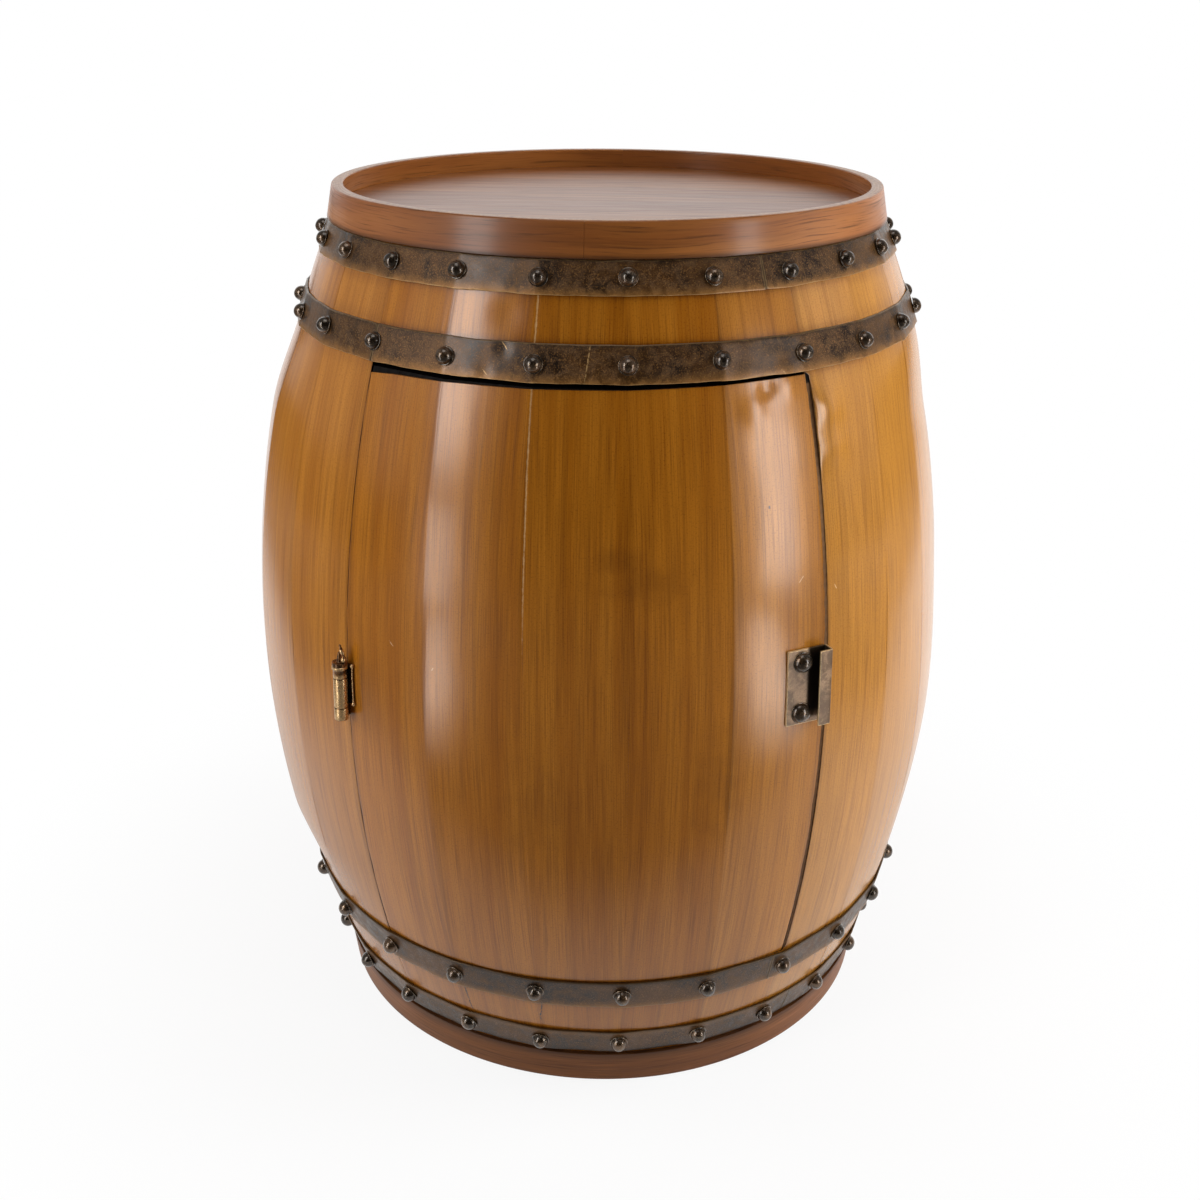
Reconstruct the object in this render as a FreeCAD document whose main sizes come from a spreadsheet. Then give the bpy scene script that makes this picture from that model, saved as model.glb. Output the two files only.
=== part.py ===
import FreeCAD, Part
import os
import re
import Sketcher
from FreeCAD import Vector

# Barrel side table: a cabinet in the shape of a cask, with a door of five staves in front and a
# tray let into its top. Millimetres, +Z up, the origin at the centre of the base on the floor.
# The door faces -Y, and every piece is drawn facing -Y and then turned about Z to its place.

# Driving sizes, each a cell of the sheet
sizes = {
    # the cask
    "overall_height": 610,
    "belly_radius": 257.7,
    "end_radius": 203,
    "stave_count": 24,
    "stave_thickness": 1.2,
    "seam_gap": 0.3,
    "glue_gap": 0.1,
    # wooden rims above and below the staves
    "rim_height": 23.5,
    "rim_wall": 8.7,
    "rim_taper": 3.8,
    "rim_overhang": 0.6,
    "rim_edge_rounding": 1,
    "rim_piece_count": 2,
    "tray_depth": 15,
    "panel_edge_ease": 0.8,
    # boards and form rings inside
    "board_thickness": 18,
    "ring_width": 38,
    # hoops and their nails
    "hoop_thickness": 1.2,
    "hoop_clearance": 0.05,
    "hoop_strip_count": 3,
    "top_joint_share": 2.15,
    "upper_joint_share": -2.5,
    "lower_joint_share": 2.35,
    "bottom_joint_share": 2.9,
    "end_hoop_height": 21,
    "top_hoop_gap": 0.6,
    "bottom_hoop_gap": 2.2,
    "inner_hoop_height": 23.3,
    "inner_hoop_inset": 73.4,
    "nail_head_diameter": 12,
    "nail_head_height": 5.4,
    "nail_head_edge": 0.6,
    "nail_shank_diameter": 2.4,
    "nail_length": 14,
    "nail_point": 3,
    "pilot_clearance": 0.1,
    # door
    "door_stave_count": 5,
    "door_top_gap": 3,
    "door_bottom_gap": 1,
    "door_hinge_gap": 0.9,
    "door_latch_gap": 1.5,
    "stile_width": 22,
    "frame_depth": 15,
    "rail_height": 18,
    "frame_clearance": 0.3,
    # hinge
    "hinge_height": 38,
    "hinge_middle": 293.5,
    "hinge_knuckle_height": 8.6,
    "hinge_knuckle_diameter": 9.2,
    "hinge_standoff": 5.4,
    "hinge_pin_diameter": 4,
    "hinge_pin_clearance": 0.05,
    "hinge_axial_gap": 0.2,
    "hinge_leaf_thickness": 0.9,
    "hinge_leaf_width": 13,
    "hinge_leaf_gap": 0.3,
    "hinge_collar_diameter": 10.2,
    "hinge_collar_height": 2.6,
    "hinge_tip_height": 7,
    "hinge_tip_diameter": 2,
    "hinge_notch_depth": 2.4,
    # pull handle
    "pull_height": 51.5,
    "pull_middle": 312.8,
    "pull_plate_width": 29,
    "pull_sheet": 1.4,
    "pull_reach": 9,
    "pull_flange": 9.5,
    "pull_edge_inset": 0.4,
    "pull_rivet_diameter": 11,
    "pull_rivet_height": 5,
    "pull_rivet_spacing": 36,
    "pull_rivet_inset": 18,
    # magnetic catch
    "catch_width": 44,
    "catch_height": 22,
    "catch_flange_thickness": 3,
    "catch_depth": 12,
    "catch_wall": 2,
    "catch_gap": 0.3,
    "pole_plate_thickness": 1.2,
    "strike_width": 34,
    "strike_height": 11,
    "strike_thickness": 1,
    # screws and brads
    "small_screw_diameter": 2.6,
    "small_screw_head": 4.8,
    "small_screw_head_height": 0.9,
    "small_screw_length": 10,
    "small_screw_spacing": 22,
    "board_screw_diameter": 3.5,
    "board_screw_head": 7,
    "board_screw_head_height": 2.5,
    "board_screw_length": 22,
    "board_screw_count": 6,
    "brad_diameter": 1.4,
    "brad_length": 18,
    "brad_cover": 1.5,
    "brad_count": 8,
    # one overrun serves every cut
    "overrun": 2,
}

doc = FreeCAD.newDocument("BarrelSideTable")
sheet = doc.addObject("Spreadsheet::Sheet", "Sizes")
for row, (alias, value) in enumerate(sizes.items(), start=1):
    sheet.set(f"A{row}", alias)
    sheet.set(f"B{row}", str(value))
    sheet.setAlias(f"B{row}", alias)
doc.recompute()

worked = doc.addObject("App::VarSet", "Worked")
worked_names = []


def named(formula):
    """Write a formula's plain names as cells of the sheet or as worked-out values."""
    def owner(match):
        word = match.group(0)
        if word in sizes:
            return f"Sizes.{word}"
        if word in worked_names:
            return f"Worked.{word}"
        return word
    return re.sub(r"[a-z_][a-z0-9_]*", owner, str(formula))


def work_out(name, formula):
    worked.addProperty("App::PropertyFloat", name, "Worked")
    worked.setExpression(name, named(formula))
    worked_names.append(name)
    worked.recompute()


def number(formula):
    return float(worked.evalExpression(named(formula)))


# Worked-out sizes. The cask is a prism of flat faces, each bent to one upright arc. Seams lie at
# its corners, so its corner radius is the face radius divided by the cosine of half a facet.
work_out("facet_angle", "360 / stave_count")
work_out("half_facet", "facet_angle / 2")
work_out("shell_bottom", "rim_height")
work_out("shell_top", "overall_height - rim_height")
work_out("shell_mid", "(shell_bottom + shell_top) / 2")
work_out("half_shell", "(shell_top - shell_bottom) / 2")
work_out("face_belly", "belly_radius * cos(half_facet)")
work_out("face_bulge", "(belly_radius - end_radius) * cos(half_facet)")
work_out("arc_radius", "(half_shell ^ 2 + face_bulge ^ 2) / (2 * face_bulge)")
work_out("arc_centre", "face_belly - arc_radius")
work_out("shell_reach", "2 * belly_radius")
work_out("shell_core", "end_radius / 2")
work_out("inner_skin", "-stave_thickness - glue_gap")

work_out("top_hoop_high", "shell_top - top_hoop_gap")
work_out("top_hoop_low", "top_hoop_high - end_hoop_height")
work_out("upper_hoop_high", "overall_height - inner_hoop_inset")
work_out("upper_hoop_low", "upper_hoop_high - inner_hoop_height")
work_out("lower_hoop_low", "inner_hoop_inset")
work_out("lower_hoop_high", "lower_hoop_low + inner_hoop_height")
work_out("bottom_hoop_low", "shell_bottom + bottom_hoop_gap")
work_out("bottom_hoop_high", "bottom_hoop_low + end_hoop_height")
work_out("hoop_reach", "max(inner_hoop_height; end_hoop_height) + 2 * overrun")
work_out("hoop_seat", "hoop_clearance + hoop_reach ^ 2 / (8 * arc_radius)")
work_out("hoop_outside", "hoop_seat + hoop_thickness")

work_out("support_ring_low", "shell_top - board_thickness")
work_out("form_ring_low", "(upper_hoop_low + upper_hoop_high - board_thickness) / 2")
work_out("form_ring_high", "form_ring_low + board_thickness")
work_out("cabinet_floor_low", "(lower_hoop_low + lower_hoop_high - board_thickness) / 2")
work_out("cabinet_floor_high", "cabinet_floor_low + board_thickness")
work_out("base_board_high", "shell_bottom + board_thickness")
work_out("panel_thickness", "rim_height - tray_depth")
work_out("rim_shell_radius", "end_radius + hoop_outside + rim_overhang")
work_out("rim_lip_radius", "rim_shell_radius - rim_taper")

work_out("door_low", "lower_hoop_high + door_bottom_gap")
work_out("door_high", "upper_hoop_low - door_top_gap")
work_out("door_half_angle", "door_stave_count * half_facet")
work_out("frame_face", "inner_skin - frame_depth")
work_out("door_frame_low", "door_low + frame_clearance")
work_out("door_frame_high", "door_high - frame_clearance")
work_out("jamb_low", "cabinet_floor_high + frame_clearance")
work_out("jamb_high", "form_ring_low - frame_clearance")

# Across the hinge seam: the frame leaf lies on the jamb, the door leaf on the stile, and the gap
# between them is centred on the pin. Zero is the seam, and plus is towards the door.
work_out("frame_leaf_far", "-hinge_leaf_thickness")
work_out("door_leaf_near", "hinge_leaf_gap")
work_out("door_leaf_far", "door_leaf_near + hinge_leaf_thickness")
work_out("pin_across", "hinge_leaf_gap / 2")
work_out("pin_out", "belly_radius + hinge_standoff")
work_out("hinge_low", "hinge_middle - hinge_height / 2")
work_out("hinge_high", "hinge_middle + hinge_height / 2")
work_out("middle_knuckle_low", "hinge_low + hinge_knuckle_height")
work_out("middle_knuckle_high", "hinge_high - hinge_knuckle_height")

work_out("pull_low", "pull_middle - pull_height / 2")
work_out("catch_top", "form_ring_low - glue_gap")
work_out("catch_low", "catch_top - catch_height")


def corner_radius(height, offset):
    """Corner radius of the prism at a height, with its faces moved outwards by an offset."""
    return f"({face_radius(height)} + ({offset})) / cos(half_facet)"


def face_radius(height):
    """Radius of the stave face at a height, on the upright arc."""
    return f"(arc_centre + sqrt(arc_radius ^ 2 - (({height}) - shell_mid) ^ 2))"


# The leaves stay behind the staves at the hinge's farther end from the belly
work_out("hinge_far_end", "shell_mid + max(shell_mid - hinge_low; hinge_high - shell_mid)")
work_out("leaf_start", f"{corner_radius('hinge_far_end', 'inner_skin')} - frame_clearance")
work_out("leaf_end", "leaf_start - hinge_leaf_width")


def bind(thing, **formulas):
    for name, formula in formulas.items():
        thing.setExpression(name, named(formula))
    return thing


def pose(thing, x="0", y="0", z="0", turn="0", tip="0", roll="0"):
    """Place a thing by its shift and by its turns about Z, Y and X."""
    vector = f"create(<<vector>>; {x}; {y}; {z})"
    rotation = f"create(<<rotation>>; {turn}; {tip}; {roll})"
    thing.setExpression("Placement", named(f"create(<<placement>>; {vector}; {rotation})"))
    return thing


def block(name, x, y, z):
    """Box from named limits, kept in its own coordinates so that it can be turned about Z."""
    box = doc.addObject("Part::Wedge", name)
    return bind(box, Xmin=x[0], Xmax=x[1], X2min=x[0], X2max=x[1], Ymin=y[0], Ymax=y[1],
                Zmin=z[0], Zmax=z[1], Z2min=z[0], Z2max=z[1])


def pie(name, half_angle, left, right, low, high):
    """Wedge of the cask facing -Y between two upright planes through the axis, each moved in
    by a distance of its own."""
    outer = f"shell_reach * tan({half_angle})"
    inner = f"shell_core * tan({half_angle})"
    left = f"({left}) / cos({half_angle})"
    right = f"({right}) / cos({half_angle})"
    wedge = doc.addObject("Part::Wedge", name)
    return bind(wedge, Ymin="-shell_reach", Ymax="-shell_core",
                Xmin=f"{left} - {outer}", Xmax=f"{outer} - {right}",
                X2min=f"{left} - {inner}", X2max=f"{inner} - {right}",
                Zmin=low, Zmax=high, Z2min=low, Z2max=high)


def seam_strip(name, side, gap, width, low, high):
    """Upright block beside a facet's left or right seam: a gap away from it and so wide."""
    outer = "shell_reach * tan(half_facet)"
    inner = "shell_core * tan(half_facet)"
    near = f"({gap}) / cos(half_facet)"
    far = f"({gap} + {width}) / cos(half_facet)"
    wedge = doc.addObject("Part::Wedge", name)
    if side == "left":
        bind(wedge, Xmin=f"{near} - {outer}", Xmax=f"{far} - {outer}",
             X2min=f"{near} - {inner}", X2max=f"{far} - {inner}")
    else:
        bind(wedge, Xmin=f"{outer} - {far}", Xmax=f"{outer} - {near}",
             X2min=f"{inner} - {far}", X2max=f"{inner} - {near}")
    return bind(wedge, Ymin="-shell_reach", Ymax="-shell_core",
                Zmin=low, Zmax=high, Z2min=low, Z2max=high)


def cylinder(name, radius, height, **place):
    tube = doc.addObject("Part::Cylinder", name)
    bind(tube, Radius=radius, Height=height)
    return pose(tube, **place)


def combine(kind, name, *things):
    """Boolean of two things, or of many for a fuse."""
    if kind == "MultiFuse":
        result = doc.addObject("Part::MultiFuse", name)
        result.Shapes = list(things)
        return result
    result = doc.addObject(f"Part::{kind}", name)
    result.Base, result.Tool = things
    return result


def group(name, things):
    result = doc.addObject("Part::Compound", name)
    result.Links = things
    return result


def drum(name, outer, inner):
    """Shell between two arcs about an axis across the stave: its faces stand at two offsets
    from the stave face."""
    walls = []
    for side, offset in (("outer", outer), ("inner", inner)):
        walls.append(cylinder(f"{name}_{side}", f"arc_radius + ({offset})", "4 * shell_reach",
                              x="-2 * shell_reach", y="-arc_centre", z="shell_mid", tip="90"))
    return combine("Cut", name, *walls)


def prism(name, low, high, offset, level=None):
    """Many-sided frustum whose faces stand at an offset from the staves' faces, or a prism whose
    faces are upright where they are measured at one level."""
    rings = []
    for end, height in (("low", low), ("high", high)):
        ring = doc.addObject("Part::RegularPolygon", f"{name}_{end}")
        bind(ring, Polygon="stave_count", Circumradius=corner_radius(level or height, offset))
        rings.append(pose(ring, z=height, turn="half_facet - 90"))
    loft = doc.addObject("Part::Loft", name)
    loft.Sections = rings
    loft.Solid = True
    loft.Ruled = True
    return loft


def sketch_profile(body, name, points, dome=None, role="XZ_Plane"):
    """Closed outline on one of the body's planes. Each point is held at its two formulas, and the edge
    that leaves the point numbered dome is an arc centred on the horizontal axis."""
    plane = next(f for f in body.Origin.OriginFeatures if f.Role == role)
    sketch = body.newObject("Sketcher::SketchObject", name)
    sketch.AttachmentSupport = (plane, [""])
    sketch.MapMode = "FlatFace"
    spots = [Vector(number(x), number(y), 0) for x, y in points]
    count = len(points)
    for index in range(count):
        start, end = spots[index], spots[(index + 1) % count]
        if index == dome:
            # an arc runs anticlockwise, so it starts at the crown and ends at the edge
            half_chord = start.y
            rise = end.x - start.x
            radius = (half_chord ** 2 + rise ** 2) / (2 * rise)
            centre = Vector(end.x - radius, 0, 0)
            circle = Part.Circle(centre, Vector(0, 0, 1), radius)
            turn = (start - centre).getAngle(Vector(1, 0, 0))
            sketch.addGeometry(Part.ArcOfCircle(circle, 0, turn))
        else:
            sketch.addGeometry(Part.LineSegment(start, end))
    for index, (x, y) in enumerate(points):
        before = (index - 1) % count
        start_end = 2 if index == dome else 1
        last_end = 1 if before == dome else 2
        sketch.addConstraint(Sketcher.Constraint("Coincident", before, last_end, index, start_end))
        for kind, axis, formula, value in (("DistanceX", -2, x, spots[index].x),
                                           ("DistanceY", -1, y, spots[index].y)):
            if formula == "0":
                rule = Sketcher.Constraint("PointOnObject", index, start_end, axis)
                sketch.addConstraint(rule)
            else:
                rule = Sketcher.Constraint(kind, -1, 1, index, start_end, value)
                place = sketch.addConstraint(rule)
                sketch.setExpression(f"Constraints[{place}]", named(formula))
    if dome is not None:
        sketch.addConstraint(Sketcher.Constraint("PointOnObject", dome, 3, -1))
    return sketch


def turned(name, points, axis="V_Axis", dome=None):
    """Body of one outline turned about an axis of its sketch."""
    body = doc.addObject("PartDesign::Body", name)
    sketch = sketch_profile(body, f"{name}_outline", points, dome)
    revolution = body.newObject("PartDesign::Revolution", f"{name}_turned")
    revolution.Profile = sketch
    revolution.ReferenceAxis = (sketch, [axis])
    revolution.Angle = 360
    return body


sub_parts = []


def keep(thing, label, turn=None):
    """Name a finished sub-part, and turn it about Z to its place."""
    if turn is not None:
        pose(thing, turn=turn)
    thing.Label = label
    sub_parts.append(thing)
    return thing


# Nails stand square to the stave arc on every seam, at the middle of each hoop. Each outline lies
# along the nail, from its head seat at zero, and is turned about its own long axis. The edge
# before its last point is the dome.
nail_head = [("-nail_length", "0"),
             ("nail_point - nail_length", "nail_shank_diameter / 2"),
             ("0", "nail_shank_diameter / 2"),
             ("0", "nail_head_diameter / 2"),
             ("nail_head_edge", "nail_head_diameter / 2"),
             ("nail_head_height", "0")]
nail_dome = len(nail_head) - 2
nail_pilot = [("-nail_length", "0"),
              ("-nail_length", "nail_shank_diameter / 2 + pilot_clearance"),
              ("overrun", "nail_shank_diameter / 2 + pilot_clearance"),
              ("overrun", "0")]


def nail_rings(name, outline, dome, heights):
    """Body with a nail, or the pilot hole of a nail, on every seam at each height."""
    body = doc.addObject("PartDesign::Body", name)
    nails = []
    for index, height in enumerate(heights):
        sketch = sketch_profile(body, f"{name}_outline_{index}", outline, dome)
        reach = f"{corner_radius(height, 'hoop_outside')} + hoop_clearance"
        slope = f"asin((({height}) - shell_mid) / arc_radius)"
        seat = f"create(<<vector>>; {reach}; {height}; 0)"
        lean = f"create(<<rotation>>; {slope}; 0; 0)"
        offset = f"create(<<placement>>; {seat}; {lean})"
        sketch.setExpression("AttachmentOffset", named(offset))
        nail = body.newObject("PartDesign::Revolution", f"{name}_nail_{index}")
        nail.Profile = sketch
        nail.ReferenceAxis = (sketch, ["H_Axis"])
        nail.Angle = 360
        nails.append(nail)
    pattern = body.newObject("PartDesign::PolarPattern", f"{name}_round")
    upright = next(f for f in body.Origin.OriginFeatures if f.Role == "Z_Axis")
    pattern.Originals = nails
    pattern.Axis = (upright, [""])
    pattern.Angle = 360
    bind(pattern, Occurrences="stave_count")
    body.Tip = pattern
    return pose(body, turn="half_facet - 90")


def middle(low, high):
    return f"({low} + {high}) / 2"


end_nail_heights = [middle("top_hoop_low", "top_hoop_high"),
                    middle("bottom_hoop_low", "bottom_hoop_high")]
inner_nail_heights = [middle("upper_hoop_low", "upper_hoop_high"),
                      middle("lower_hoop_low", "lower_hoop_high")]
end_pilots = nail_rings("end_pilots", nail_pilot, None, end_nail_heights)
inner_pilots = nail_rings("inner_pilots", nail_pilot, None, inner_nail_heights)
pilots = group("pilots", [end_pilots, inner_pilots])

# Staves: one bent blank, cut by the pilot holes at its edges, stands once on each facet
stave_drum = drum("stave_drum", "0", "-stave_thickness")
stave_wedge = pie("stave_wedge", "half_facet", "seam_gap / 2", "seam_gap / 2",
                  "shell_bottom", "shell_top")
stave_blank = combine("Common", "stave_blank", stave_drum, stave_wedge)
stave_pierced = combine("Cut", "stave_pierced", stave_blank, pilots)
stave_count = round(number("stave_count"))
door_stave_count = round(number("door_stave_count"))
half_door = door_stave_count // 2

# The frame leaf's two tabs pass the edge of the stave on the hinge side. The notch is drawn in the
# hinge seam's own frame, half a facet round from the stave's.
tab_notch = block("tab_notch", ("frame_leaf_far - frame_clearance", "shell_core"),
                  ("-shell_reach", "-shell_core"),
                  ("hinge_low - frame_clearance", "hinge_high + frame_clearance"))
pose(tab_notch, turn="half_facet")
hinge_side_stave = combine("Cut", "hinge_side_stave", stave_pierced, tab_notch)
fixed_count = stave_count - door_stave_count
for order in range(fixed_count):
    stave = hinge_side_stave if order == fixed_count - 1 else stave_pierced
    label = f"stave_{order + 1:02d}"
    keep(group(f"{label}_placed", [stave]), label, f"{half_door + 1 + order} * facet_angle")

# Short staves above and below the door opening
for label, low, high in (("door_head_staves", "upper_hoop_low", "shell_top"),
                         ("door_sill_staves", "shell_bottom", "lower_hoop_high")):
    wedge = pie(f"{label}_wedge", "half_facet", "seam_gap / 2", "seam_gap / 2", low, high)
    blank = combine("Common", f"{label}_blank", stave_drum, wedge)
    pierced = combine("Cut", f"{label}_pierced", blank, pilots)
    staves = []
    for place in range(-half_door, half_door + 1):
        stave = group(f"{label}_{place + half_door}", [pierced])
        staves.append(pose(stave, turn=f"{place} * facet_angle"))
    keep(group(f"{label}_together", staves), label)


def radial_slots(name, count, first, low, high):
    """Saw cuts through a ring wall at even turns, which part it into strips with butt joints."""
    slots = []
    for index in range(count):
        slot = block(f"{name}_{index}", ("-seam_gap / 2", "seam_gap / 2"),
                     ("-shell_reach", "-shell_core"), (low, high))
        slots.append(pose(slot, turn=f"{first} + {index} * 360 / {count}"))
    return group(f"{name}_slots", slots)


# Hoops: many-sided bands outside the staves, each of a few strips that butt. A joint's share counts
# facets round from the middle of the door.
hoop_names = ("top", "upper", "lower", "bottom")
for name in hoop_names:
    label = f"{name}_hoop"
    low, high = f"{label}_low", f"{label}_high"
    outside = prism(f"{label}_outside", low, high, "hoop_outside")
    inside = prism(f"{label}_inside", f"{low} - overrun", f"{high} + overrun", "hoop_seat")
    band = combine("Cut", f"{label}_band", outside, inside)
    slots = radial_slots(label, round(number("hoop_strip_count")),
                         f"{name}_joint_share * facet_angle",
                         f"{low} - overrun", f"{high} + overrun")
    strips = combine("Cut", f"{label}_strips", band, slots)
    near_pilots = end_pilots if name in ("top", "bottom") else inner_pilots
    keep(combine("Cut", f"{label}_pierced", strips, near_pilots), label)

keep(nail_rings("end_nails", nail_head, nail_dome, end_nail_heights), "end_hoop_nails")
keep(nail_rings("inner_nails", nail_head, nail_dome, inner_nail_heights), "inner_hoop_nails")

# Holes and screws are drawn by the same functions, a hole wider and deeper by its clearance


def wood_screw(name, size, pilot):
    """Countersunk screw standing head down on the origin, or the hole that it passes."""
    extra = "pilot_clearance" if pilot else "0"
    shank = f"{size}_screw_diameter / 2 + {extra}"
    head = f"{size}_screw_head / 2 + {extra}"
    point = f"{size}_screw_length + {extra}"
    return turned(name, [("0", "0"), (head, "0"), (shank, f"{size}_screw_head_height"),
                         (shank, point), ("0", point)])


def panel_screws(name, pilot):
    """Screws round the cask: up through the support ring, and up through the base panel."""
    circle = "(rim_shell_radius - rim_wall - ring_width / 2)"
    count = round(number("board_screw_count"))
    screws = []
    for level, height in (("top", "support_ring_low"), ("base", "tray_depth")):
        for index in range(count):
            angle = f"(half_facet + {index} * 360 / {count})"
            screw = wood_screw(f"{name}_{level}_{index}", "board", pilot)
            screws.append(pose(screw, x=f"{circle} * sin{angle}", y=f"-{circle} * cos{angle}",
                               z=height))
    return group(name, screws)


def rim_nails(name, pilot):
    """Headless brads driven through both rims into the edges of the panels inside them."""
    extra = "pilot_clearance" if pilot else "0"
    lean = "rim_taper * panel_thickness / 2 / rim_height"
    reach = f"(rim_shell_radius - {lean} - brad_cover)"
    count = round(number("brad_count"))
    brads = []
    for level, height in (("top", "shell_top + panel_thickness / 2"),
                          ("base", "shell_bottom - panel_thickness / 2")):
        for index in range(count):
            angle = f"(({index} + 1 / 2) * 360 / {count})"
            brad = cylinder(f"{name}_{level}_{index}", f"brad_diameter / 2 + {extra}",
                            f"brad_length + {extra}", x=f"{reach} * sin{angle}",
                            y=f"-{reach} * cos{angle}", z=height, turn=f"{angle} - 90", tip="-90")
            brads.append(brad)
    return group(name, brads)


screw_holes = panel_screws("screw_holes", True)
brad_holes = rim_nails("brad_holes", True)
keep(panel_screws("panel_screws", False), "board_screws")
keep(rim_nails("rim_nails", False), "rim_brads")


def rim(label, lip, joint):
    """Bent wooden rim: a wall that leans in from the shell's end to its lip, rounded at the lip,
    in pieces that butt."""
    shell = "shell_top" if label == "top_rim" else "shell_bottom"
    body = turned(f"{label}_wall", [("rim_lip_radius", lip), ("rim_shell_radius", shell),
                                    ("rim_shell_radius - rim_wall", shell),
                                    ("rim_lip_radius - rim_wall", lip)])
    wall = body.Tip
    wall.recompute(True)
    height = number(lip)
    near = number("glue_gap")
    edges = []
    for index, edge in enumerate(wall.Shape.Edges, start=1):
        box = edge.BoundBox
        if abs(box.ZMin - height) < near and abs(box.ZMax - height) < near:
            edges.append(f"Edge{index}")
    rounding = body.newObject("PartDesign::Fillet", f"{label}_rounding")
    rounding.Base = (wall, edges)
    bind(rounding, Radius="rim_edge_rounding")
    slots = radial_slots(label, round(number("rim_piece_count")), joint,
                         "-overrun", "overall_height + overrun")
    pieces = combine("Cut", f"{label}_pieces", body, slots)
    keep(combine("Cut", f"{label}_drilled", pieces, brad_holes), label)


rim("top_rim", "overall_height", "0")
rim("base_ring", "0", "90")


def panel(label, seat, face, inwards):
    """Thin round panel inside a rim, with an edge that leans as the rim does and is eased at its
    face. Inwards is the sign of the way from its face to its seat."""
    lean = "rim_taper * (panel_thickness - panel_edge_ease) / rim_height"
    edge = "rim_shell_radius - rim_wall - frame_clearance"
    body = turned(f"{label}_disc", [("0", seat), (edge, seat),
                                    (f"{edge} - {lean}", f"{face} {inwards} panel_edge_ease"),
                                    (f"{edge} - {lean} - panel_edge_ease", face), ("0", face)])
    bored = combine("Cut", f"{label}_bored", body, screw_holes)
    keep(combine("Cut", f"{label}_drilled", bored, brad_holes), label)


panel("top_board", "shell_top", "shell_top + panel_thickness", "-")
panel("base_panel", "shell_bottom", "tray_depth", "+")


# Magnetic catch, hung from the form ring one facet to the latch side of the door's middle. Its
# magnet sits between two pole plates in a case, and meets a strike plate on the door's top rail.
work_out("strike_seat", f"{face_radius('door_frame_high')} + frame_face")
work_out("catch_front", "strike_seat - strike_thickness - catch_gap")
work_out("catch_back", "catch_front - catch_depth")
work_out("catch_body_half", "strike_width / 2 - catch_wall")
work_out("magnet_low", "catch_low + catch_wall")
work_out("magnet_high", "magnet_low + strike_height")
work_out("magnet_half", "catch_body_half - catch_wall")


def catch_screws(name, pilot):
    screws = []
    for hand in (-1, 1):
        screw = wood_screw(f"{name}_{hand + 1}", "small", pilot)
        screws.append(pose(screw, x=f"{hand} * (catch_body_half + catch_width / 2) / 2",
                           y="-(catch_front + catch_back) / 2", z="catch_top - catch_flange_thickness"))
    return pose(group(name, screws), turn="facet_angle")


catch_holes = catch_screws("catch_holes", True)
catch_flange = block("catch_flange", ("-catch_width / 2", "catch_width / 2"),
                     ("-catch_front", "-catch_back"), ("catch_top - catch_flange_thickness", "catch_top"))
catch_body = block("catch_body", ("-catch_body_half", "catch_body_half"),
                   ("-catch_front", "-catch_back"), ("catch_low", "catch_top"))
catch_pocket = block("catch_pocket", ("-magnet_half", "magnet_half"),
                     ("-catch_front - overrun", "-catch_back - catch_wall"),
                     ("magnet_low", "magnet_high"))
catch_solid = combine("MultiFuse", "catch_solid", catch_flange, catch_body)
catch_hollow = combine("Cut", "catch_hollow", catch_solid, catch_pocket)
pose(catch_hollow, turn="facet_angle")
keep(combine("Cut", "catch_case_drilled", catch_hollow, catch_holes), "catch_case")

inside_pocket = ("glue_gap - magnet_half", "magnet_half - glue_gap")
magnet = block("magnet", inside_pocket,
               ("-catch_front + frame_clearance", "-catch_back - catch_wall - glue_gap"),
               ("magnet_low + pole_plate_thickness + 2 * glue_gap",
                "magnet_high - pole_plate_thickness - 2 * glue_gap"))
keep(magnet, "catch_magnet", "facet_angle")
poles = []
for level, low in (("low", "magnet_low + glue_gap"),
                   ("high", "magnet_high - glue_gap - pole_plate_thickness")):
    pole = block(f"pole_{level}", inside_pocket,
                 ("-catch_front", "-catch_back - catch_wall - glue_gap"),
                 (low, f"{low} + pole_plate_thickness"))
    poles.append(pole)
keep(group("poles", poles), "catch_pole_plates", "facet_angle")


def board(label, low, high, near_pilots, bore=None, holes=None):
    """Many-sided plywood board or ring that the staves are nailed to."""
    plate = prism(f"{label}_plate", low, high, "inner_skin")
    if bore is not None:
        hole = cylinder(f"{label}_bore", bore, f"{high} - {low} + 2 * overrun",
                        z=f"{low} - overrun")
        plate = combine("Cut", f"{label}_ring", plate, hole)
    if holes is not None:
        plate = combine("Cut", f"{label}_drilled", plate, holes)
    keep(combine("Cut", f"{label}_nailed", plate, near_pilots), label)


board("top_support_ring", "support_ring_low", "shell_top", end_pilots,
      f"{face_radius('support_ring_low')} - ring_width", screw_holes)
board("upper_form_ring", "form_ring_low", "form_ring_high", inner_pilots,
      f"{face_radius('form_ring_low')} - ring_width", catch_holes)
board("cabinet_floor", "cabinet_floor_low", "cabinet_floor_high", inner_pilots)
board("base_board", "shell_bottom", "base_board_high", end_pilots, None, screw_holes)

# Hinge. Everything on it is drawn in the seam's own frame and turned with the seam: the jamb's
# and the stile's side faces are flat and lie along the seam, and a leaf is screwed to each.


def hinge_screws(name, hand, pilot):
    """Two screws across the seam, their heads flush with a leaf's inner face."""
    across, tip = ("0", "-90") if hand == "frame" else ("door_leaf_near", "90")
    screws = []
    for level in (-1, 1):
        screw = wood_screw(f"{name}_{level + 1}", "small", pilot)
        screws.append(pose(screw, x=across, y="-(leaf_start + leaf_end) / 2",
                           z=f"hinge_middle + {level} * small_screw_spacing / 2", tip=tip))
    return group(name, screws)


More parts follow.
